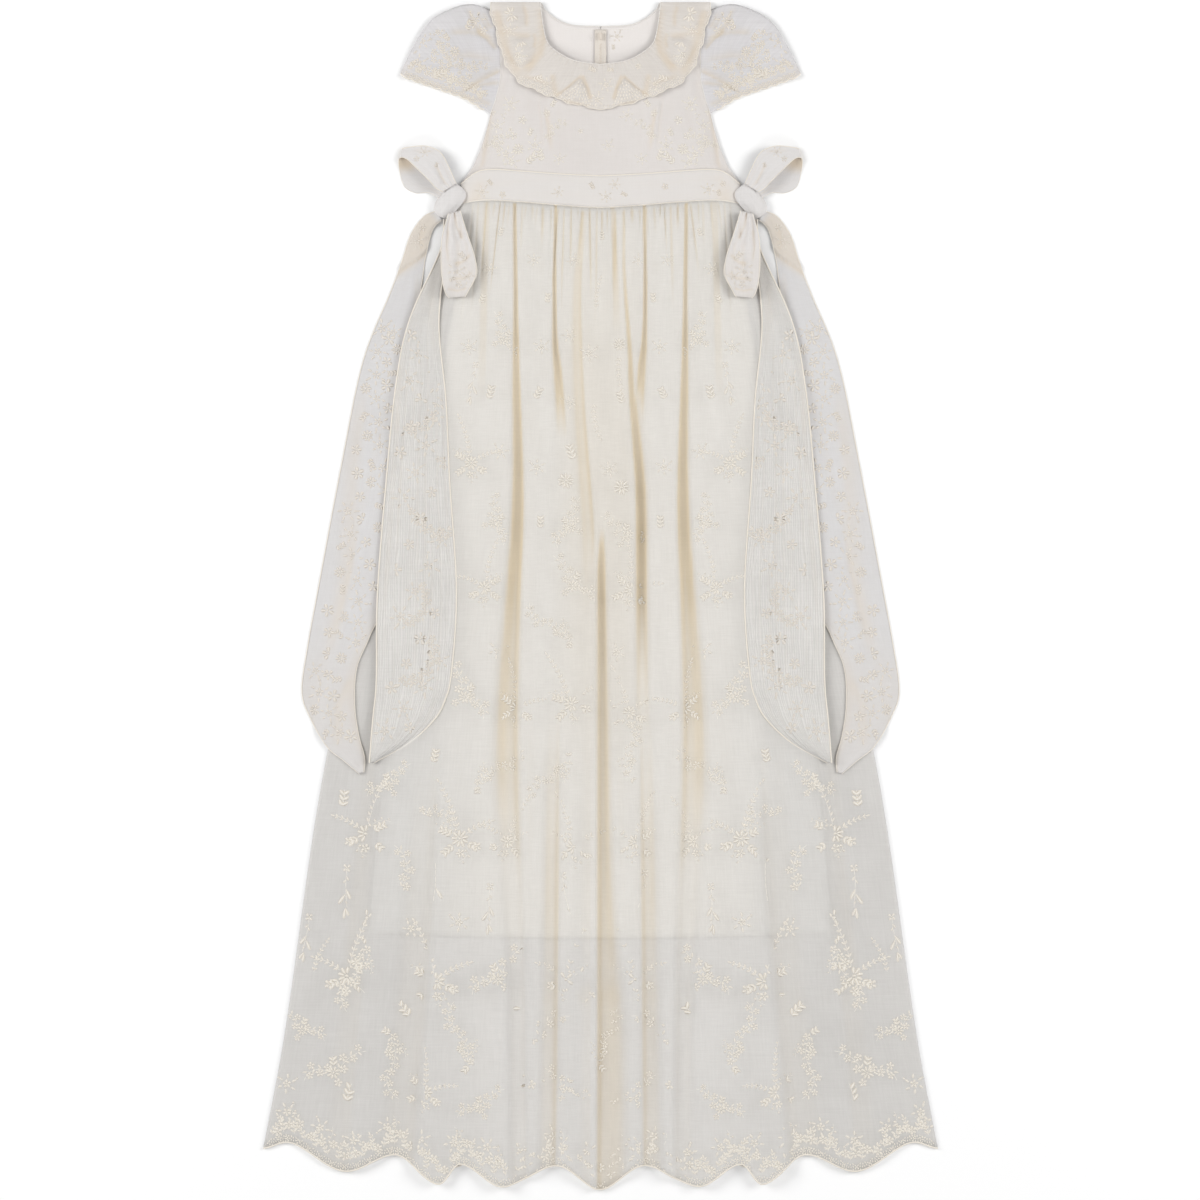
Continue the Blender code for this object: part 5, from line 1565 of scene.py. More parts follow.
@dataclass
class Sleeve:
    """A cap sleeve, folded over the shoulder and gathered at the armhole."""

    side: Side
    columns: int = 60
    rows: int = 110
    fold_line: Route = Route((98.3, 114, 131, 150, 167, 178.5), (525, 529, 524, 512.5, 488, 467))
    hem_line: Route = Route((178.5, 163, 138, 122, 104.5), (467, 461.5, 453, 447, 436.5))
    hem_angle: float = math.atan2(24, 59)
    scallops: int = 9
    scallop_depth: float = 1.5
    puff: float = 3.4
    cut: Pair = (0.085, 0.20)
    creases: tuple[Crease, ...] = crease_rows(
        ((127, 450, 109, 461, 88, 472), -1.5, 1.3, 4, 0.15), ((124, 455, 108, 465, 88, 477), 1.3, 4, 1.6, 0.2),
        ((121, 454, 105, 458, 89, 460), -1.1, 1.2, 3, 0.2), ((127, 447, 110, 445, 97, 439), -1, 1.3, 3, 0.2),
        ((113, 508, 103, 500, 93, 489), -1.2, 1.4, 3.5, 0.2), ((138, 504, 117, 505, 93, 498), -0.9, 1.5, 4.5, 0.2),
        ((111, 524, 106, 514, 99, 506), -0.9, 1.2, 2.4, 0.2), ((106, 524, 101, 513, 96, 508), -0.8, 1.2, 2.2, 0.2),
        ((119, 526, 114, 513, 107, 504), -1, 1.6, 3, 0.2), ((142, 482, 118, 484, 91, 479), -0.7, 2, 5, 0.3),
        ((137, 470, 115, 474, 90, 468), 0.7, 4, 2.5, 0.3))
    layout: Layout = (
        ("posy", 112, 516, 0.3, 0.9), ("sheaf", 120, 508, 0.5, 0.8), ("blossom", 105, 507, 0, 0.9),
        ("posy", 160, 497, 0.5, 0.8), ("star", 131, 488, 0, 0.7), ("chain", 152, 482, 0.9, 0.75),
        ("hook", 142, 472, 0.5, 0.7), ("posy", 164, 478, 0.3, 0.9), ("chain", 122, 462, 0.4, 0.7),
        ("sheaf", 150, 466, 1.2, 0.9), ("posy", 134, 462, 0.2, 0.8), ("blossom", 145, 494, 0, 0.8),
        ("sheaf", 168, 486, 0.2, 0.8), ("posy", 112, 452, 0.6, 0.7), ("hook", 125, 474, -0.6, 0.55),
        ("berries", 154, 500, 0.7, 0.8), ("sheaf", 136, 498, -0.7, 0.6))

    def plan(self, out: Array, down: Array) -> Arrays:
        """Points of half a sleeve: out to the hem, and down from the shoulder fold.

        Args:
            out: share from the armhole to the hem.
            down: share down from the fold.

        Returns:
            Distance from the centre line, and height.
        """
        armhole_y = blend(FORM.armhole_top, FORM.underarm, down)
        armhole = (FORM.bodice_half(armhole_y) + FORM.seam, armhole_y)
        hem = self.hem_line.point(down)
        scallop = self.scallop_depth * np.abs(np.sin(math.pi * self.scallops * down))
        hem = (hem[0], hem[1] - scallop)
        fold = self.fold_line.point(out)
        low = (float(FORM.bodice_half(np.array(FORM.underarm))) + FORM.seam, FORM.underarm)
        ends = ((self.fold_line.across[0], self.fold_line.across[-1], self.hem_line.across[-1]),
            (self.fold_line.height[0], self.fold_line.height[-1], self.hem_line.height[-1]))
        values = []
        for axis, (start, tip, last) in enumerate(ends):
            ruled = blend(fold[axis], blend(low[axis], last, out), down)
            corner = blend(blend(start, low[axis], down), blend(tip, last, down), out)
            values.append(blend(armhole[axis], hem[axis], out) + ruled - corner)
        return values[0], values[1]

    def build(self) -> None:
        """Makes the sleeve, the cord along its scallops, its armhole seam and its embroidery."""
        out, turn = np.meshgrid(np.linspace(0, 1, self.columns + 1), np.linspace(0, 1, self.rows + 1))
        front_down = np.clip(1 - 2 * turn, 0, 1)
        x, y = self.plan(out, np.maximum(front_down, np.clip(2 * turn - 1, 0, 1)))
        under = FORM.back_lie + FORM.back_rise(x, y)
        rise, dip = relief(self.creases, x, y)
        puff = self.puff * np.sin(math.pi * out) * (1 - front_down**2)
        fold = 1.7 * (1 - ease(0, 0.3, front_down)) * ease(0, 0.3, out)
        frill = 0.3 * np.sin(math.pi * self.scallops * front_down) * out**4
        over = FORM.front_lie + FORM.back_rise(x, y) + puff + fold + frill
        over = np.maximum(over + rise, under + FORM.layer)
        round_share = np.clip((turn - 0.5) / 0.06 + 0.5, 0, 1)
        lie = blend(over, under, ease(0, 1, round_share))
        bulge = 0.45 * (over - under) * np.sqrt(np.clip(1 - (2 * round_share - 1) ** 2, 0, 1))
        points = (self.side.value * (x + bulge), y + bulge, lie)
        # Painted shade: the deep colour fills the creases' troughs on the upper layer, and comes in more towards the
        # hem.
        painted_shade = 0.35 * dip * (turn < 0.5) + 0.25 * ease(0.85, 1, out)
        label = self.side.label
        cloth = Cloth(f"sleeve_cap_{label}", points, self.cut, 0.45, painted_shade, (0, 0.47))
        piece = cloth.build(WEAR.sleeve)
        hem = make_cord(f"sleeve_hem_cord_{label}", [cloth.edge(across=1, count=260)], 0.6, WEAR.cord)
        seam = make_cord(f"sleeve_seam_{label}", [cloth.edge(across=0, count=160)[:86]], 0.4, WEAR.sewing)
        made = lay_out(self.layout, (self.side.value,))
        for index, down in enumerate(np.arange(0.03, 0.98, 0.062)):
            x, y = map(float, self.hem_line.point(down))
            edge = MOTIFS.fan(6, 3, 2.4).moved(x, y + 6, self.hem_angle).join(
                MOTIFS.blossom(3.2).moved(x - 3, y + 9 + 3 * (index % 2)),
                MOTIFS.leafy(9, 0.5, 3, 3.4).moved(x, y + 6, self.hem_angle - 0.6 + 0.5 * (index % 3)))
            made.join(edge.on(self.side.value))
        sprays = Embroidery(f"sleeve_sprays_{label}", cloth, made).build(WEAR.shade_thread)
        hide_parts(f"sleeve_{label}")


@dataclass
class Collar:
    """The gathered flounce round the neck: one piece in front and two behind."""

    bodice: Bodice
    columns: int = 260
    rows: int = 28
    wrap: float = 0.045
    top: float = 533
    lie: float = 0.9
    edge: Route = Route((0, 22, 42, 58, 72, 83, 89.5, 94.5, 99), (435.5, 439.5, 446, 452, 459.5, 473, 490, 508, 526))
    back_edge: Route = Route((0, 38, 68, 88, 97), (471, 472.5, 485, 506, 524))
    cut: Pair = (0.38, 0.038)
    back_cut: Pair = (0.14, 0.04)
    paired: tuple[Crease, ...] = crease_rows(
        ((95, 528, 90, 506, 84, 488, 77, 472, 72, 462), -1.5, 4, 4.5, 0.15),
        ((53, 530, 50, 516, 50, 503, 54, 486, 64, 472, 69, 466), -1.9, 5, 3, 0.15),
        ((82, 532, 80, 520, 78, 508), 2.6, 8, 8, 0.2), ((92, 505, 76, 503.5, 60, 502), -0.8, 3, 2.6, 0.2),
        ((74, 500, 72, 488, 66, 474), 3, 7, 8, 0.2), ((70, 531, 67, 520, 67, 509), -0.9, 1.4, 2.6, 0.2),
        ((60, 505, 58.5, 498, 60, 490), -1.1, 1.2, 1.8, 0.2), ((86, 500, 80, 486, 73, 474), 0.9, 1.6, 1.6, 0.2),
        ((74, 457, 60, 453, 46, 449), 1.8, 4, 4, 0.25), ((72, 466, 56, 462, 42, 456), -0.9, 2.4, 2, 0.25),
        ((44, 468, 42, 456, 40, 446), -1.5, 2, 3, 0.2))
    cones: tuple[Crease, ...] = crease_rows(
        ((17, 466, 29, 455, 41, 447), -1.3, 1.2, 2.2, 0.08), ((17, 463, 26, 454, 35, 448), 1.8, 3.5, 2, 0.15),
        ((17, 460, 20, 450, 22, 441), 2.6, 6, 6, 0.3), ((16, 466, 11, 454, 8, 444), -1.7, 2.2, 1.2, 0.08),
        ((36, 443, 22, 440, 10, 437), -1.2, 1.2, 1.8, 0.15))
    fans: tuple[tuple[float, float, float, float, int, float], ...] = (
        (74, 489, -0.1, 13, 6, 1.1), (67, 466, 0.35, 11, 5, 2.2), (57, 460, 0.1, 10, 5, 2.4),
        (47, 455, 0.1, 8, 4, 2.4), (88, 496, 0.8, 5, 3, 2.4))
    middle_flowers: Layout = (
        ("posy", 5, 457, 0.2, 0.7), ("sheaf", -4, 470, 1.2, 0.6), ("posy", -3, 444, 0.7, 0.7),
        ("sheaf", 12, 471, 1.6, 0.5), ("blossom", 34, 474, 0, 0.7))
    flowers: Layout = (
        ("star", 80, 521, 0.2, 1), ("posy", 82, 507, 0.3, 0.7), ("star", 72, 497, 0.1, 0.9),
        ("posy", 74, 484, 0.8, 0.8), ("sheaf", 60, 462, 1.2, 0.7), ("posy", 49, 458, 0.2, 0.7))

    def build(self) -> None:
        """Makes the three pieces, the cords on their edges and their embroidery."""
        share, out = np.meshgrid(np.linspace(-1, 1, self.columns + 1), np.linspace(0, 1, self.rows + 1))
        reach_end = 1 - self.wrap
        along = np.clip(np.abs(share) / reach_end, 0, 1)
        inner, outer = self.bodice.front_neck.point(along), self.edge.point(along)
        frill = 0.02 * np.sin(along * 41) + 0.01 * np.sin(along * 97 + 1)
        reach = out * (1 + frill * out**4)
        x, y = blend(inner[0], outer[0], reach), blend(inner[1], outer[1], reach)
        rise, dip = relief(self.paired, x, y)
        x = np.sign(share) * x
        for sign in (-1, 1):
            lift, deep = relief(self.cones, sign * x - (3 if sign > 0 else 0), y)
            rise, dip = rise + lift, dip + deep
        pinch = 0.3 * np.sin(along * 150) * np.exp(-out / 0.2)
        level = FORM.bodice(x, y) + self.lie + np.maximum(rise, -0.6) * ease(0, 0.25, out)
        level = level + pinch + 0.3 + 1 * out + 0.25 * np.sin(along * 41) * out**3
        turned = np.clip((np.abs(share) - reach_end) / self.wrap, 0, 1) * math.pi / 2
        up = blend(y, self.top - 0.3, np.sin(turned))
        level = blend(level, FORM.wall / 2 + FORM.layer, 1 - np.cos(turned))
        # Painted shade: the deep colour fills the creases' troughs, over a small even share across the flounce.
        cloth = Cloth("collar_flounce", (x, up, level), self.cut, 0.4, 0.24 * dip + 0.05, hollow=(4, 1.2, 0.35))
        piece = cloth.build(WEAR.collar)
        cord = make_cord("collar_edge_cord", [cloth.edge(down=1, count=420)], 0.45, WEAR.cord)
        seam = make_cord("collar_neck_seam", [cloth.edge(down=0, count=240)], 0.45, WEAR.sewing)
        sprays = Embroidery("collar_work", cloth, self.layout()).build(WEAR.collar_thread)
        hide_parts("collar_front")
        for side in Side:
            self.back(side)

    def back(self, side: Side) -> None:
        """One back piece, which lies flat under the back panel."""
        along, out = np.meshgrid(np.linspace(0, 1, 60), np.linspace(0, 1, 10))
        inner, outer = self.bodice.back_neck.point(along), self.back_edge.point(along)
        reach = out * (1 + 0.02 * np.cos(along * 10 * math.pi) * out)
        x = np.maximum(blend(inner[0], outer[0], reach), 0.2)
        y = blend(blend(inner[1], outer[1], reach), self.top - 0.3, ease(0.9, 1, along))
        points = (side.value * x, y, FORM.back_lie)
        piece = Cloth(f"collar_flounce_back_{side.label}", points, self.back_cut, 0.4).build(WEAR.collar)
        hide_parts(f"collar_back_{side.label}")

    def layout(self) -> Patches:
        """Fans of seed stitches on the folds, with small leaves along the edge."""
        made = Patches()
        for side in (1, -1):
            half = Patches()
            for x, y, turn, radius, rows, spread in self.fans:
                half.join(MOTIFS.fan(radius, rows, spread).moved(x, y, turn))
            half.join(MOTIFS.fan(23, 8, 1.35).moved(17 + (3 if side > 0 else 0), 463, 0.3))
            for step in np.linspace(0.03, 0.97, 40):
                x, y = map(float, self.edge.point(step))
                half.join(MOTIFS.berry(0.8).moved(x - 1, y + 1.6))
            made.join(half.on(side))
        return made.join(lay_out(self.middle_flowers, (1,)), lay_out(self.flowers))


@dataclass
class BackZip:
    """The concealed zip in the centre back: tape, coil and slider."""

    half: float = 5.2
    bottom: float = 352
    top: float = 508
    coil_pitch: float = 1.3
    slider: tuple[float, float, float] = (3.4, 6.5, 1.8)

    def build(self) -> None:
        """Makes the tape with its sewing, the coil and the slider."""
        x, y = np.meshgrid(np.linspace(-self.half, self.half, 15), np.linspace(self.top, self.bottom, 60))
        lie = FORM.wall / 2 + FORM.layer - 0.2 + FORM.back_rise(x, y) + 0.5 * bump(x, 0, 1.9, 1.9)
        cut = (2 * self.half * MM, (self.top - self.bottom) * MM)
        tape = Cloth("zip_tape", (x, y, lie), cut, 0.4)
        piece = tape.build(WEAR.zip_tape, "zip")
        rows = Patches().join(*(sewing_row([(x, self.bottom + 2), (x, self.top - 2)]) for x in (-3.6, 3.6)))
        sewing = Embroidery("zip_tape_sewing", tape, rows).build(WEAR.sewing, "zip")
        teeth = Patches()
        for index, place in enumerate(np.arange(self.bottom + 1, self.top - 12, self.coil_pitch)):
            way = 1 if index % 2 else -1
            teeth.add(-way * 0.5, float(place), 0 if way > 0 else math.pi, 1.9, 0.8, Stitch.STEM, 0.6)
        coil = Embroidery("zip_coil", tape, teeth).build(WEAR.coil, "zip")
        self.build_slider()
        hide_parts("back_zip")

    def build_slider(self) -> None:
        """The slider's body, narrowed to its tail, with its flat tab."""
        width, length, thickness = self.slider
        middle = self.top - length
        seat = 3 * FORM.layer + 0.8 + FORM.lay
        shape = bmesh.new()
        bmesh.ops.create_cube(shape, size=1)
        bmesh.ops.scale(shape, verts=shape.verts, vec=Vector((width, length, thickness * 0.6)))
        for vert in shape.verts:
            if vert.co.y < 0:
                vert.co.x *= 0.72
        lid = [max(shape.faces, key=lambda face: face.normal.z)]
        bmesh.ops.inset_region(shape, faces=lid, thickness=0.7, depth=0)
        raised = bmesh.ops.extrude_discrete_faces(shape, faces=lid)["faces"]
        bmesh.ops.translate(shape, verts=raised[0].verts, vec=Vector((0, 0, thickness * 0.4)))
        edges = [edge for edge in shape.edges if edge.is_manifold and edge.calc_face_angle(0) > 0.6]
        bmesh.ops.bevel(shape, geom=edges, offset=0.25, segments=3, profile=0.5, affect="EDGES", material=-1)
        bmesh.ops.translate(shape, verts=shape.verts, vec=Vector((0, middle, seat + thickness * 0.3)))
        bmesh.ops.scale(shape, verts=shape.verts, vec=Vector((MM, MM, MM)))
        bmesh.ops.recalc_face_normals(shape, faces=shape.faces)
        mesh = shape_mesh(shape, "zip_slider_body")
        piece = place_mesh("zip_slider_body", flat_chart(mesh), WEAR.coil)
        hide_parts("zip_slider")


@dataclass(frozen=True)
class Ribbon:
    """One strip of the bow: its rims, its grid, its cut, its creases and its embroidery."""

    name: str
    node: str
    rims: tuple[Route, Route]
    grid: tuple[int, int]
    cut: Pair
    held: str
    creases: tuple[Crease, ...]
    layout: Layout
    shown: Pair = (0, 1)
    scatter: tuple[tuple[str, float], ...] = ()
    scatter_count: int = 0

    def scattered(self) -> Layout:
        """Small motifs placed one after another down the strip, from side to side."""
        made = []
        for index, along in enumerate(np.linspace(0.22, 0.93, self.scatter_count)):
            kind, size = self.scatter[index % len(self.scatter)]
            outer, inner = (np.array(rim.point(along)) for rim in self.rims)
            x, y = blend(outer, inner, 0.16 + 0.68 * ((index * 0.38) % 1))
            made.append((kind, float(x), float(y), 0.9 * (index % 7), size))
        return tuple(made)

    def plan(self) -> Arrays:
        """Share across and along the strip, and each point's place, between its two rims."""
        across, along = np.meshgrid(*(np.linspace(0, 1, count + 1) for count in self.grid))
        stations = tuple(np.linspace(0, 1, len(self.rims[0].across)))
        outer_x, outer_y, inner_x, inner_y = (
            Profile(stations, values).read(along) for rim in self.rims for values in (rim.across, rim.height))
        return across, along, blend(outer_x, inner_x, across), blend(outer_y, inner_y, across)

    def inner_rim(self, height: Array) -> Array:
        """Distance of the inner rim from the centre line at a height."""
        order = np.argsort(self.rims[1].height)
        at = tuple(np.array(self.rims[1].height)[order])
        return Profile(at, tuple(np.array(self.rims[1].across)[order])).read(height)


@dataclass
class SashBow:
    """A tied bow at one side of the waistband: knot, two loops and two tails."""

    side: Side
    knot: Pair = (135.4, 353.5)
    tilt: float = math.radians(51)
    knot_size: tuple[float, float, float] = (33, 20, 7.6)
    outer: Ribbon = Ribbon(
        "sash_end_outer", "sash_tail_outer",
        (Route((147.3, 158.9, 170.6, 178.7, 189.5, 213.8, 233.6, 253.4, 263.3, 268.7, 262.4, 246.2, 230.9, 216.5),
               (344.9, 339.8, 323.6, 299.3, 270.5, 209.3, 113.9, 8.6, -45.5, -86, -108.5, -136.4, -149, -161.1)),
         Route((142.7, 149.6, 153.5, 158.2, 161.9, 173.3, 182.3, 191.3, 207.5, 219.2, 221, 217.4, 212, 212.9),
               (336.9, 330.8, 320.9, 299.3, 272.3, 202.1, 112.1, 4.1, -37.4, -66.2, -99.5, -126.5, -146.3, -159.8))),
        (40, 122), (0.072, 0.53), "hung",
        crease_rows(((152, 311, 160, 304, 170, 297, 186, 286), -1.5, 1.2, 4, 0.03),
            ((152, 317, 163, 306, 186, 292), 1, 1.6, 3, 0.03), ((158, 336, 162, 320, 160, 306), -0.6, 2, 4),
            ((166, 292, 166, 262, 178, 215), -0.6, 2, 6, 0.2), ((181, 282, 186, 240, 204, 190), 0.7, 7, 5, 0.2),
            ((212, 190, 222, 110, 226, 20, 244, -60), -1.1, 10, 4.5, 0.15),
            ((222, 160, 234, 90, 240, 10, 254, -60), 0.8, 6, 9, 0.2),
            ((190, 150, 196, 80, 204, 10, 226, -50), 0.7, 5, 8, 0.2),
            ((196, -52.5, 232, -53, 264, -54), 0.35, 1, 1, 0.02), ((222, -70, 236, -100, 238, -140), -0.8, 4, 6, 0.2)),
        (("posy", 186, 236, 0, 0.8), ("posy", 165, 318, 0.3, 0.8), ("blossom", 160, 330, 0, 0.9)),
        scatter=(("posy", 1.05), ("blossom", 1.5), ("star", 0.75), ("posy", 0.9), ("blossom", 1.25), ("sheaf", 0.75)),
        scatter_count=56)
    inner: Ribbon = Ribbon(
        "sash_end_inner", "sash_tail_inner",
        (Route((140.6, 141.6, 147.2, 171.5, 183.2, 192.2, 200.3, 201.2, 203.9, 205.7, 206.6, 207.5),
               (336.9, 319.1, 301, 247, 193, 104.9, 0.5, -77, -107.6, -128.3, -141.8, -151.2)),
         Route((136, 138.6, 140, 145.4, 139, 135.5, 129.2, 133.7, 140, 149.9, 171.5, 203.9),
               (336.9, 319.1, 299.3, 242.6, 175, 103, 4.1, -69.8, -95.9, -113, -132.8, -150.8))),
        (60, 112), (0.075, 0.49), "hung",
        crease_rows(((150, 290, 152, 250, 148, 205), -0.5, 3, 5),
            ((180, 215, 183, 180, 184, 140), -0.7, 3, 3, 0.2)),
        (("garland", 148, 186, 2.8, 1), ("garland", 168, 75, 2.8, 1), ("garland", 152, -40, 2.8, 1),
         ("garland", 144, 122, 2.6, 0.8), ("garland", 160, 8, 2.6, 0.8)),
        scatter=(("blossom", 1.5), ("posy", 1), ("blossom", 1.3), ("posy", 1.15)), scatter_count=28)
    upper: Ribbon = Ribbon(
        "bow_loop_upper", "sash_loop_upper",
        (Route((144.7, 155.3, 166, 176, 180.2, 181, 174.5, 163.4, 153.5, 147.2, 141.3),
               (356.4, 361.8, 361.4, 366.8, 379, 391.5, 391.5, 381.2, 371.3, 364.6, 361.6)),
         Route((133.1, 139, 149.9, 162.5, 172, 178.4, 170, 156.2, 143.6, 135.5, 129.6),
               (368.1, 376.7, 388.4, 395.6, 398.6, 400.5, 402, 402.3, 396.5, 382.1, 368.7))),
        (36, 110), (0.03, 0.105), "folded",
        crease_rows(((138, 366, 143, 376, 148, 388), -0.8, 1, 2, 0.2),
            ((142, 366, 150, 378, 158, 388), 0.9, 2.5, 2.5, 0.2), ((146, 398, 158, 398, 170, 399), -0.5, 2, 2)),
        (("posy", 158, 397, 0.3, 0.55), ("blossom", 165, 391, 0.3, 0.7), ("sheaf", 148, 383, 0.3, 0.4)), (0.5, 1))
    lower: Ribbon = Ribbon(
        "bow_loop_lower", "sash_loop_lower",
        (Route((135.9, 141.8, 142.7, 140.9, 136.5, 135.9, 138.6, 141.4, 142.9, 141.9, 136.2),
               (341.2, 320.9, 299.3, 279.5, 268.8, 266.4, 269.6, 280, 299.3, 320.9, 341.4)),
         Route((125.8, 119.3, 113, 111.2, 120.5, 121.4, 119, 111.7, 112.8, 119.3, 126),
               (343.8, 322.7, 302.9, 286.7, 270, 267.4, 271, 287, 302.9, 322.7, 344))),
        (40, 110), (0.03, 0.16), "folded",
        crease_rows(((131, 343, 129, 330, 124, 318), -1.2, 1, 1.8, 0.1),
            ((134, 343, 134, 328, 131, 314), 1.2, 1.6, 1.6, 0.1), ((128, 343, 123, 328, 117, 312), 0.9, 1.6, 2, 0.1),
            ((136, 330, 138, 312, 136, 296), -0.8, 1.2, 1.8, 0.2),
            ((115, 306, 124, 298, 133, 296), -1.1, 1.4, 1.6, 0.2),
            ((117, 298, 127, 291, 139, 292), 1.2, 1.6, 1.4, 0.2), ((113, 290, 122, 284, 136, 283), -1, 1.2, 1.8, 0.2),
            ((116, 282, 126, 278, 138, 279), 1.2, 1.5, 1.5, 0.2), ((129, 306, 133, 296, 131, 284), 0.8, 1.2, 2.2, 0.2),
            ((118, 275, 128, 272.5, 139, 274), -1, 1.1, 1.1, 0.2)),
        (("sheaf", 121, 300, -0.7, 0.7), ("posy", 130, 290, 0.3, 0.8), ("sheaf", 134, 280, 0.4, 0.7),
         ("posy", 119, 284, 0.3, 0.7), ("blossom", 127, 278, 0.3, 0.8)), (0.53, 1))

    def make(self, ribbon: Ribbon, plan: Arrays, level: Array, painted_shade: Array, finish: Finish) -> None:
        """Makes one strip with its rolled rims and its embroidery.

        Args:
            ribbon: the strip.
            plan: its grid from Ribbon.plan.
            level: height of its wall's middle before the creases.
            painted_shade: how far the deep colour comes in as painted shade.
            finish: the strip's cloth.
        """
        along, x, y = plan[1:]
        rise, dip = relief(ribbon.creases, x, y)
        over = ease(ribbon.shown[0] - 0.02, ribbon.shown[0] + 0.03, along) if ribbon.shown[0] else 1
        points = (self.side.value * x, y, np.maximum(level + rise * over, FORM.back_lie))
        name = f"{ribbon.name}_{self.side.label}"
        # Painted shade: the deep colour fills the creases' troughs, on top of the share given.
        cloth = Cloth(name, points, ribbon.cut, 0.5, 0.25 * dip * over + painted_shade, ribbon.shown, (4, 1.2, 0.25))
        piece = cloth.build(finish)
        lines = [cloth.edge(across=end, count=150, lift=0.3) for end in (0, 1)]
        rim = make_cord(name + "_rim", lines, 0.7 if ribbon is self.inner else 0.4, WEAR.cord)
        made = lay_out(ribbon.layout + ribbon.scattered(), (self.side.value,))
        work = Embroidery(name + "_sprays", cloth, made).build(WEAR.tail_thread)
        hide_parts(f"{ribbon.node}_{self.side.label}")

    def knot_exit(self, x: Array, y: Array) -> Array:
        """Extra height where a ribbon comes out of the knot."""
        return 1.2 * (1 - ease(12, 30, np.hypot(x - self.knot[0], y - self.knot[1])))

    def crinkle(self, across: Array, along: Array) -> Array:
        """Fine lengthwise crinkles of uneven depth, stronger below the bow.

        Args:
            across, along: shares of the strip.

        Returns:
            Their height.
        """
        rng = np.random.default_rng(5)
        rise = np.zeros(across.shape)
        for _ in range(64):
            centre = rng.uniform(0.02, 0.98) + rng.uniform(-0.05, 0.05) * along
            start, stop = sorted(rng.uniform(0.1, 1.1, 2))
            fade = ease(start - 0.06, start + 0.06, along) * (1 - ease(stop - 0.06, stop + 0.1, along))
            rise = rise + rng.uniform(-0.6, 0.5) * fade * bump(across, centre, 0.015, 0.022)
        return rise * ease(0.12, 0.4, along)

    def build(self) -> None:
        """Makes the knot, the tails and the loops."""
        self.build_knot()
        plan = across, along, x, y = self.outer.plan()
        above = ease(-3, 3, (y - 307) + 0.74 * (x - 157)) * ease(0, 0.06, along)
        level = FORM.ribbon_rest(x, y) + self.knot_exit(x, y) + 0.8 * above + 0.2 * np.sin(across * 9 + along * 7)
        level = level - 0.9 * np.abs(2 * across - 1) ** 8
        # Painted shade: strong on the part above the twist near the knot, in a band along the inner rim lower down,
        # and more towards the tip.
        painted_shade = 0.6 * above + 0.25 * bump(across, 1, 0.16, 0.1) * ease(0.25, 0.4, along)
        painted_shade = painted_shade + 0.15 * (1 - ease(-90, -20, y))
        self.make(self.outer, plan, level, painted_shade, WEAR.tail)
        plan = across, along, x, y = self.inner.plan()
        past = self.outer.inner_rim(y) - x
        over = np.maximum(1 - ease(3, 20, past), ease(240, 290, y))
        furrow = self.crinkle(across, along)
        level = FORM.ribbon_rest(x, y) + FORM.ribbon_gap * 1.4 * over + self.knot_exit(x, y) + furrow
        level = level - 2 * across**10
        # Painted shade in the crinkles' furrows and close to the knot.
        painted_shade = 0.1 * np.clip(-furrow, 0, 0.8) + 0.25 * (1 - ease(0.16, 0.3, along))
        self.make(self.inner, plan, level, painted_shade, WEAR.crepe)
        for ribbon, rises in ((self.upper, (4, 1.2, 0, 0, 0.2, 2.6, 5.5, 8, 8.5, 7.8, 7)),
                (self.lower, (2.5, 0, 0, 0, 0.3, 1.6, 3.2, 4.4, 4.8, 4.6, 4.6))):
            plan = across, along, x, y = ribbon.plan()
            rise = Profile(tuple(np.linspace(0, 1, len(rises))), rises).read(along)
            near = np.minimum(along, 1 - along)
            pleat = 0.6 * np.sin(across * 3.2 * 2 * math.pi + 0.8) * np.exp(-near / 0.11)
            if ribbon is self.upper:
                level = FORM.back_lie + rise + np.maximum(pleat, 0)
                level = level + 1.2 * np.sin(math.pi * across) * bump(along, 0.75, 0.16, 0.16)
                # Painted shade in the loop's mouth near its tip.
                painted_shade = (along < 0.5) * ease(160, 174, x) * ease(376, 388, y)
            else:
                past = self.inner.inner_rim(y) - x
                level = FORM.ribbon_rest(x, y) + 3 * (1 - ease(3, 14, past)) + rise + pleat
                # Painted shade: a little everywhere, and more towards the loop's lower end.
                painted_shade = 0.05 + 0.1 * (1 - ease(290, 322, y))
            # The pleats' troughs take more painted shade.
            self.make(ribbon, plan, level, painted_shade + 0.3 * np.clip(-pleat, 0, 1), WEAR.sash)

    def build_knot(self) -> None:
        """The flat pinched bundle that the ribbon ties, creased lengthwise."""
        long, wide, tall = self.knot_size
        shape = bmesh.new()
        bmesh.ops.create_uvsphere(shape, u_segments=72, v_segments=40, radius=1)
        cosine, sine = math.cos(self.tilt), math.sin(self.tilt)
        for vert in shape.verts:
            away = sum(abs(value) ** 3 for value in vert.co) ** (1 / 3)
            around = math.atan2(vert.co.z, vert.co.y)
            along, breadth, up = (value / away / 2 for value in vert.co)
            shrink = 1 + 0.03 * math.cos(7 * around + 2 * along) + 0.025 * math.cos(12 * around + 5 * along)
            waist = 1 + 0.15 * along
            breadth = breadth * wide * shrink * waist
            across = self.knot[0] - along * long * cosine + breadth * sine
            seat = (2 * FORM.layer + 0.1) * (1 - float(ease(4, 9, across - FORM.band_half)))
            level = max((up * shrink * waist + 0.42) * tall, seat)
            height = self.knot[1] + along * long * sine + breadth * cosine
            vert.co = Vector((self.side.value * across, height, level)) * MM
        bmesh.ops.recalc_face_normals(shape, faces=shape.faces)
        mesh = shape_mesh(shape, f"bow_knot_{self.side.label}")
        piece = place_mesh(mesh.name, flat_chart(mesh), WEAR.sash)
        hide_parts(f"sash_knot_{self.side.label}")


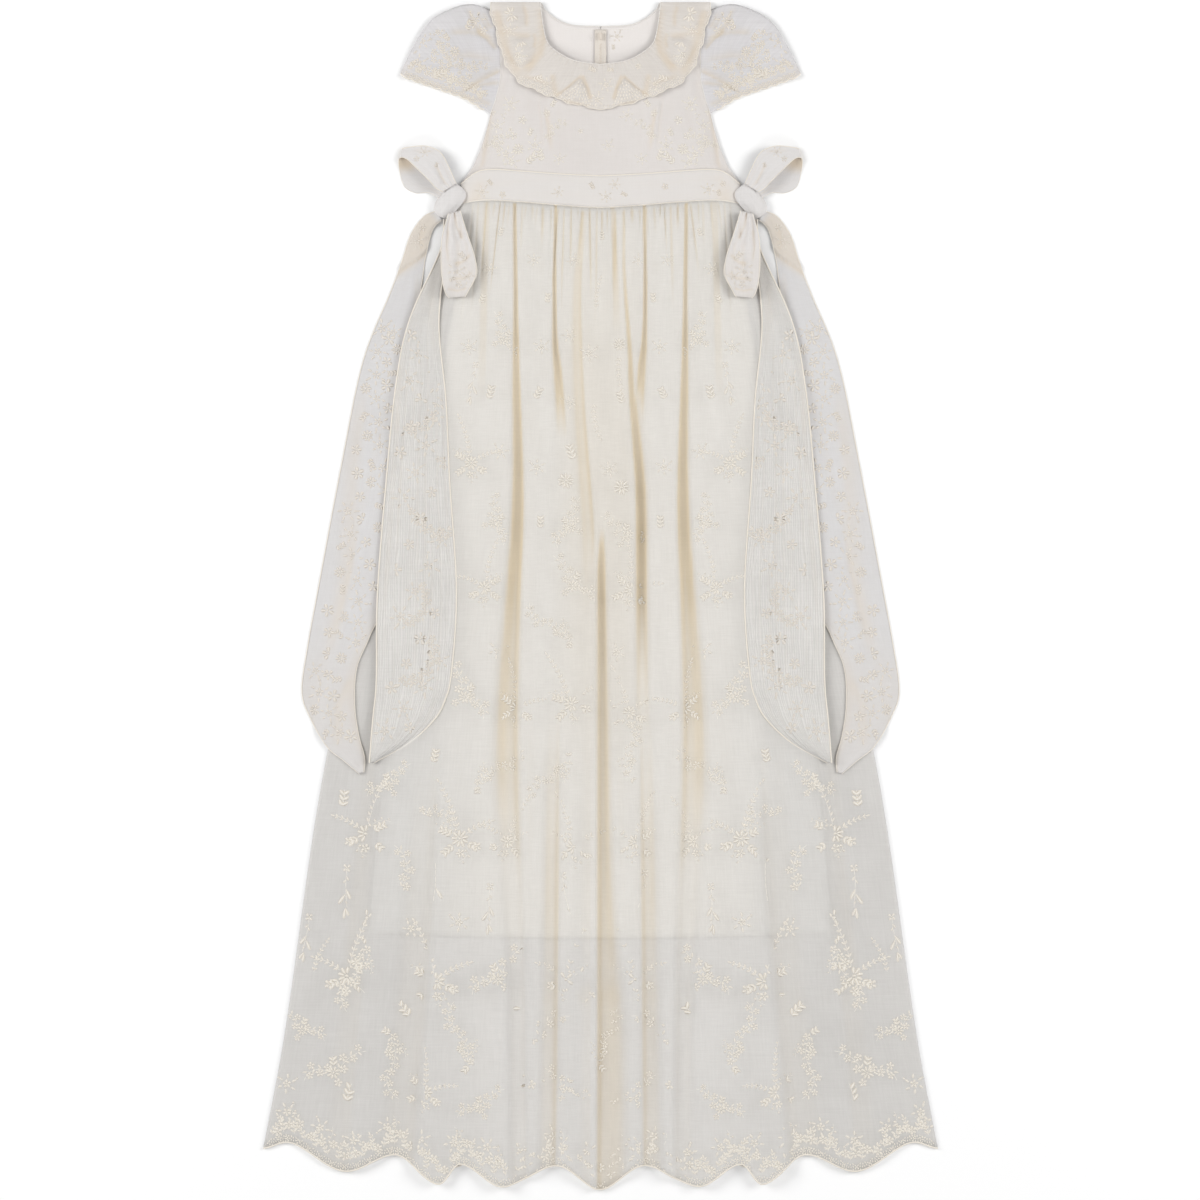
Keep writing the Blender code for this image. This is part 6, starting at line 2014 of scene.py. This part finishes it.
@dataclass
class Studio:
    """Plain pale floor, soft light from all round, and the camera straight above."""

    view_width: float = 1.08
    lens: float = 100
    centre: Pair = (-0.00045, -0.00495)
    floor_size: float = 12
    sky: float = 0.42
    lamps: tuple[tuple[str, tuple[float, float, float], float], ...] = (
        ("lamp_left", (-2.1, 0.6, 1.5), 38), ("lamp_right", (2.1, 0.5, 1.5), 34),
        ("lamp_foot", (0, -2.4, 1.9), 16.5))

    def build(self) -> None:
        """Makes the floor, the lamps, the sky and the camera."""
        shape = bmesh.new()
        bmesh.ops.create_grid(shape, x_segments=1, y_segments=1, size=self.floor_size / 2)
        mesh = shape_mesh(shape, "studio_floor")
        _, shader = new_material("studio_white")
        shader.inputs["Base Color"].default_value = (0.95, 0.95, 0.95, 1)
        shader.inputs["Roughness"].default_value = 0.9
        mesh.materials.append(bpy.data.materials["studio_white"])
        add_object("studio_floor", mesh)
        world = bpy.data.worlds.new("studio_sky")
        bpy.context.scene.world = world
        world.use_nodes = True
        world.node_tree.nodes["Background"].inputs["Color"].default_value = (1, 1, 1, 1)
        world.node_tree.nodes["Background"].inputs["Strength"].default_value = self.sky
        for name, place, power in self.lamps:
            lamp = bpy.data.lights.new(name, "AREA")
            lamp.shape = "DISK"
            lamp.size = 1.4
            lamp.energy = power
            holder = add_object(name, lamp)
            holder.location = place
            holder.rotation_euler = (-Vector(place)).to_track_quat("-Z", "Y").to_euler()
            holder.visible_camera = False
        camera = bpy.data.cameras.new("camera_above")
        camera.lens = self.lens
        camera.sensor_width = 36
        holder = add_object("camera_above", camera)
        holder.location = (*self.centre, self.view_width * self.lens / camera.sensor_width)
        bpy.context.scene.camera = holder
        bpy.context.scene.view_settings.view_transform = "Standard"


def main() -> None:
    """Builds the gown from the surface it lies on upwards."""
    logging.basicConfig(level=logging.INFO, format="%(message)s")
    Studio().build()
    bodice = Bodice()
    parts = [Skirt(), Lining(), bodice, *(Sleeve(side) for side in Side), Collar(bodice), BackZip(),
        *(SashBow(side) for side in Side)]
    for part in parts:
        before = set(bpy.data.objects)
        part.build()
        for piece in sorted(set(bpy.data.objects) - before, key=lambda item: item.name):
            LOG.info("%s: %s, %d faces", type(part).__name__, piece.name, len(piece.data.polygons))


if __name__ == "__main__":
    main()
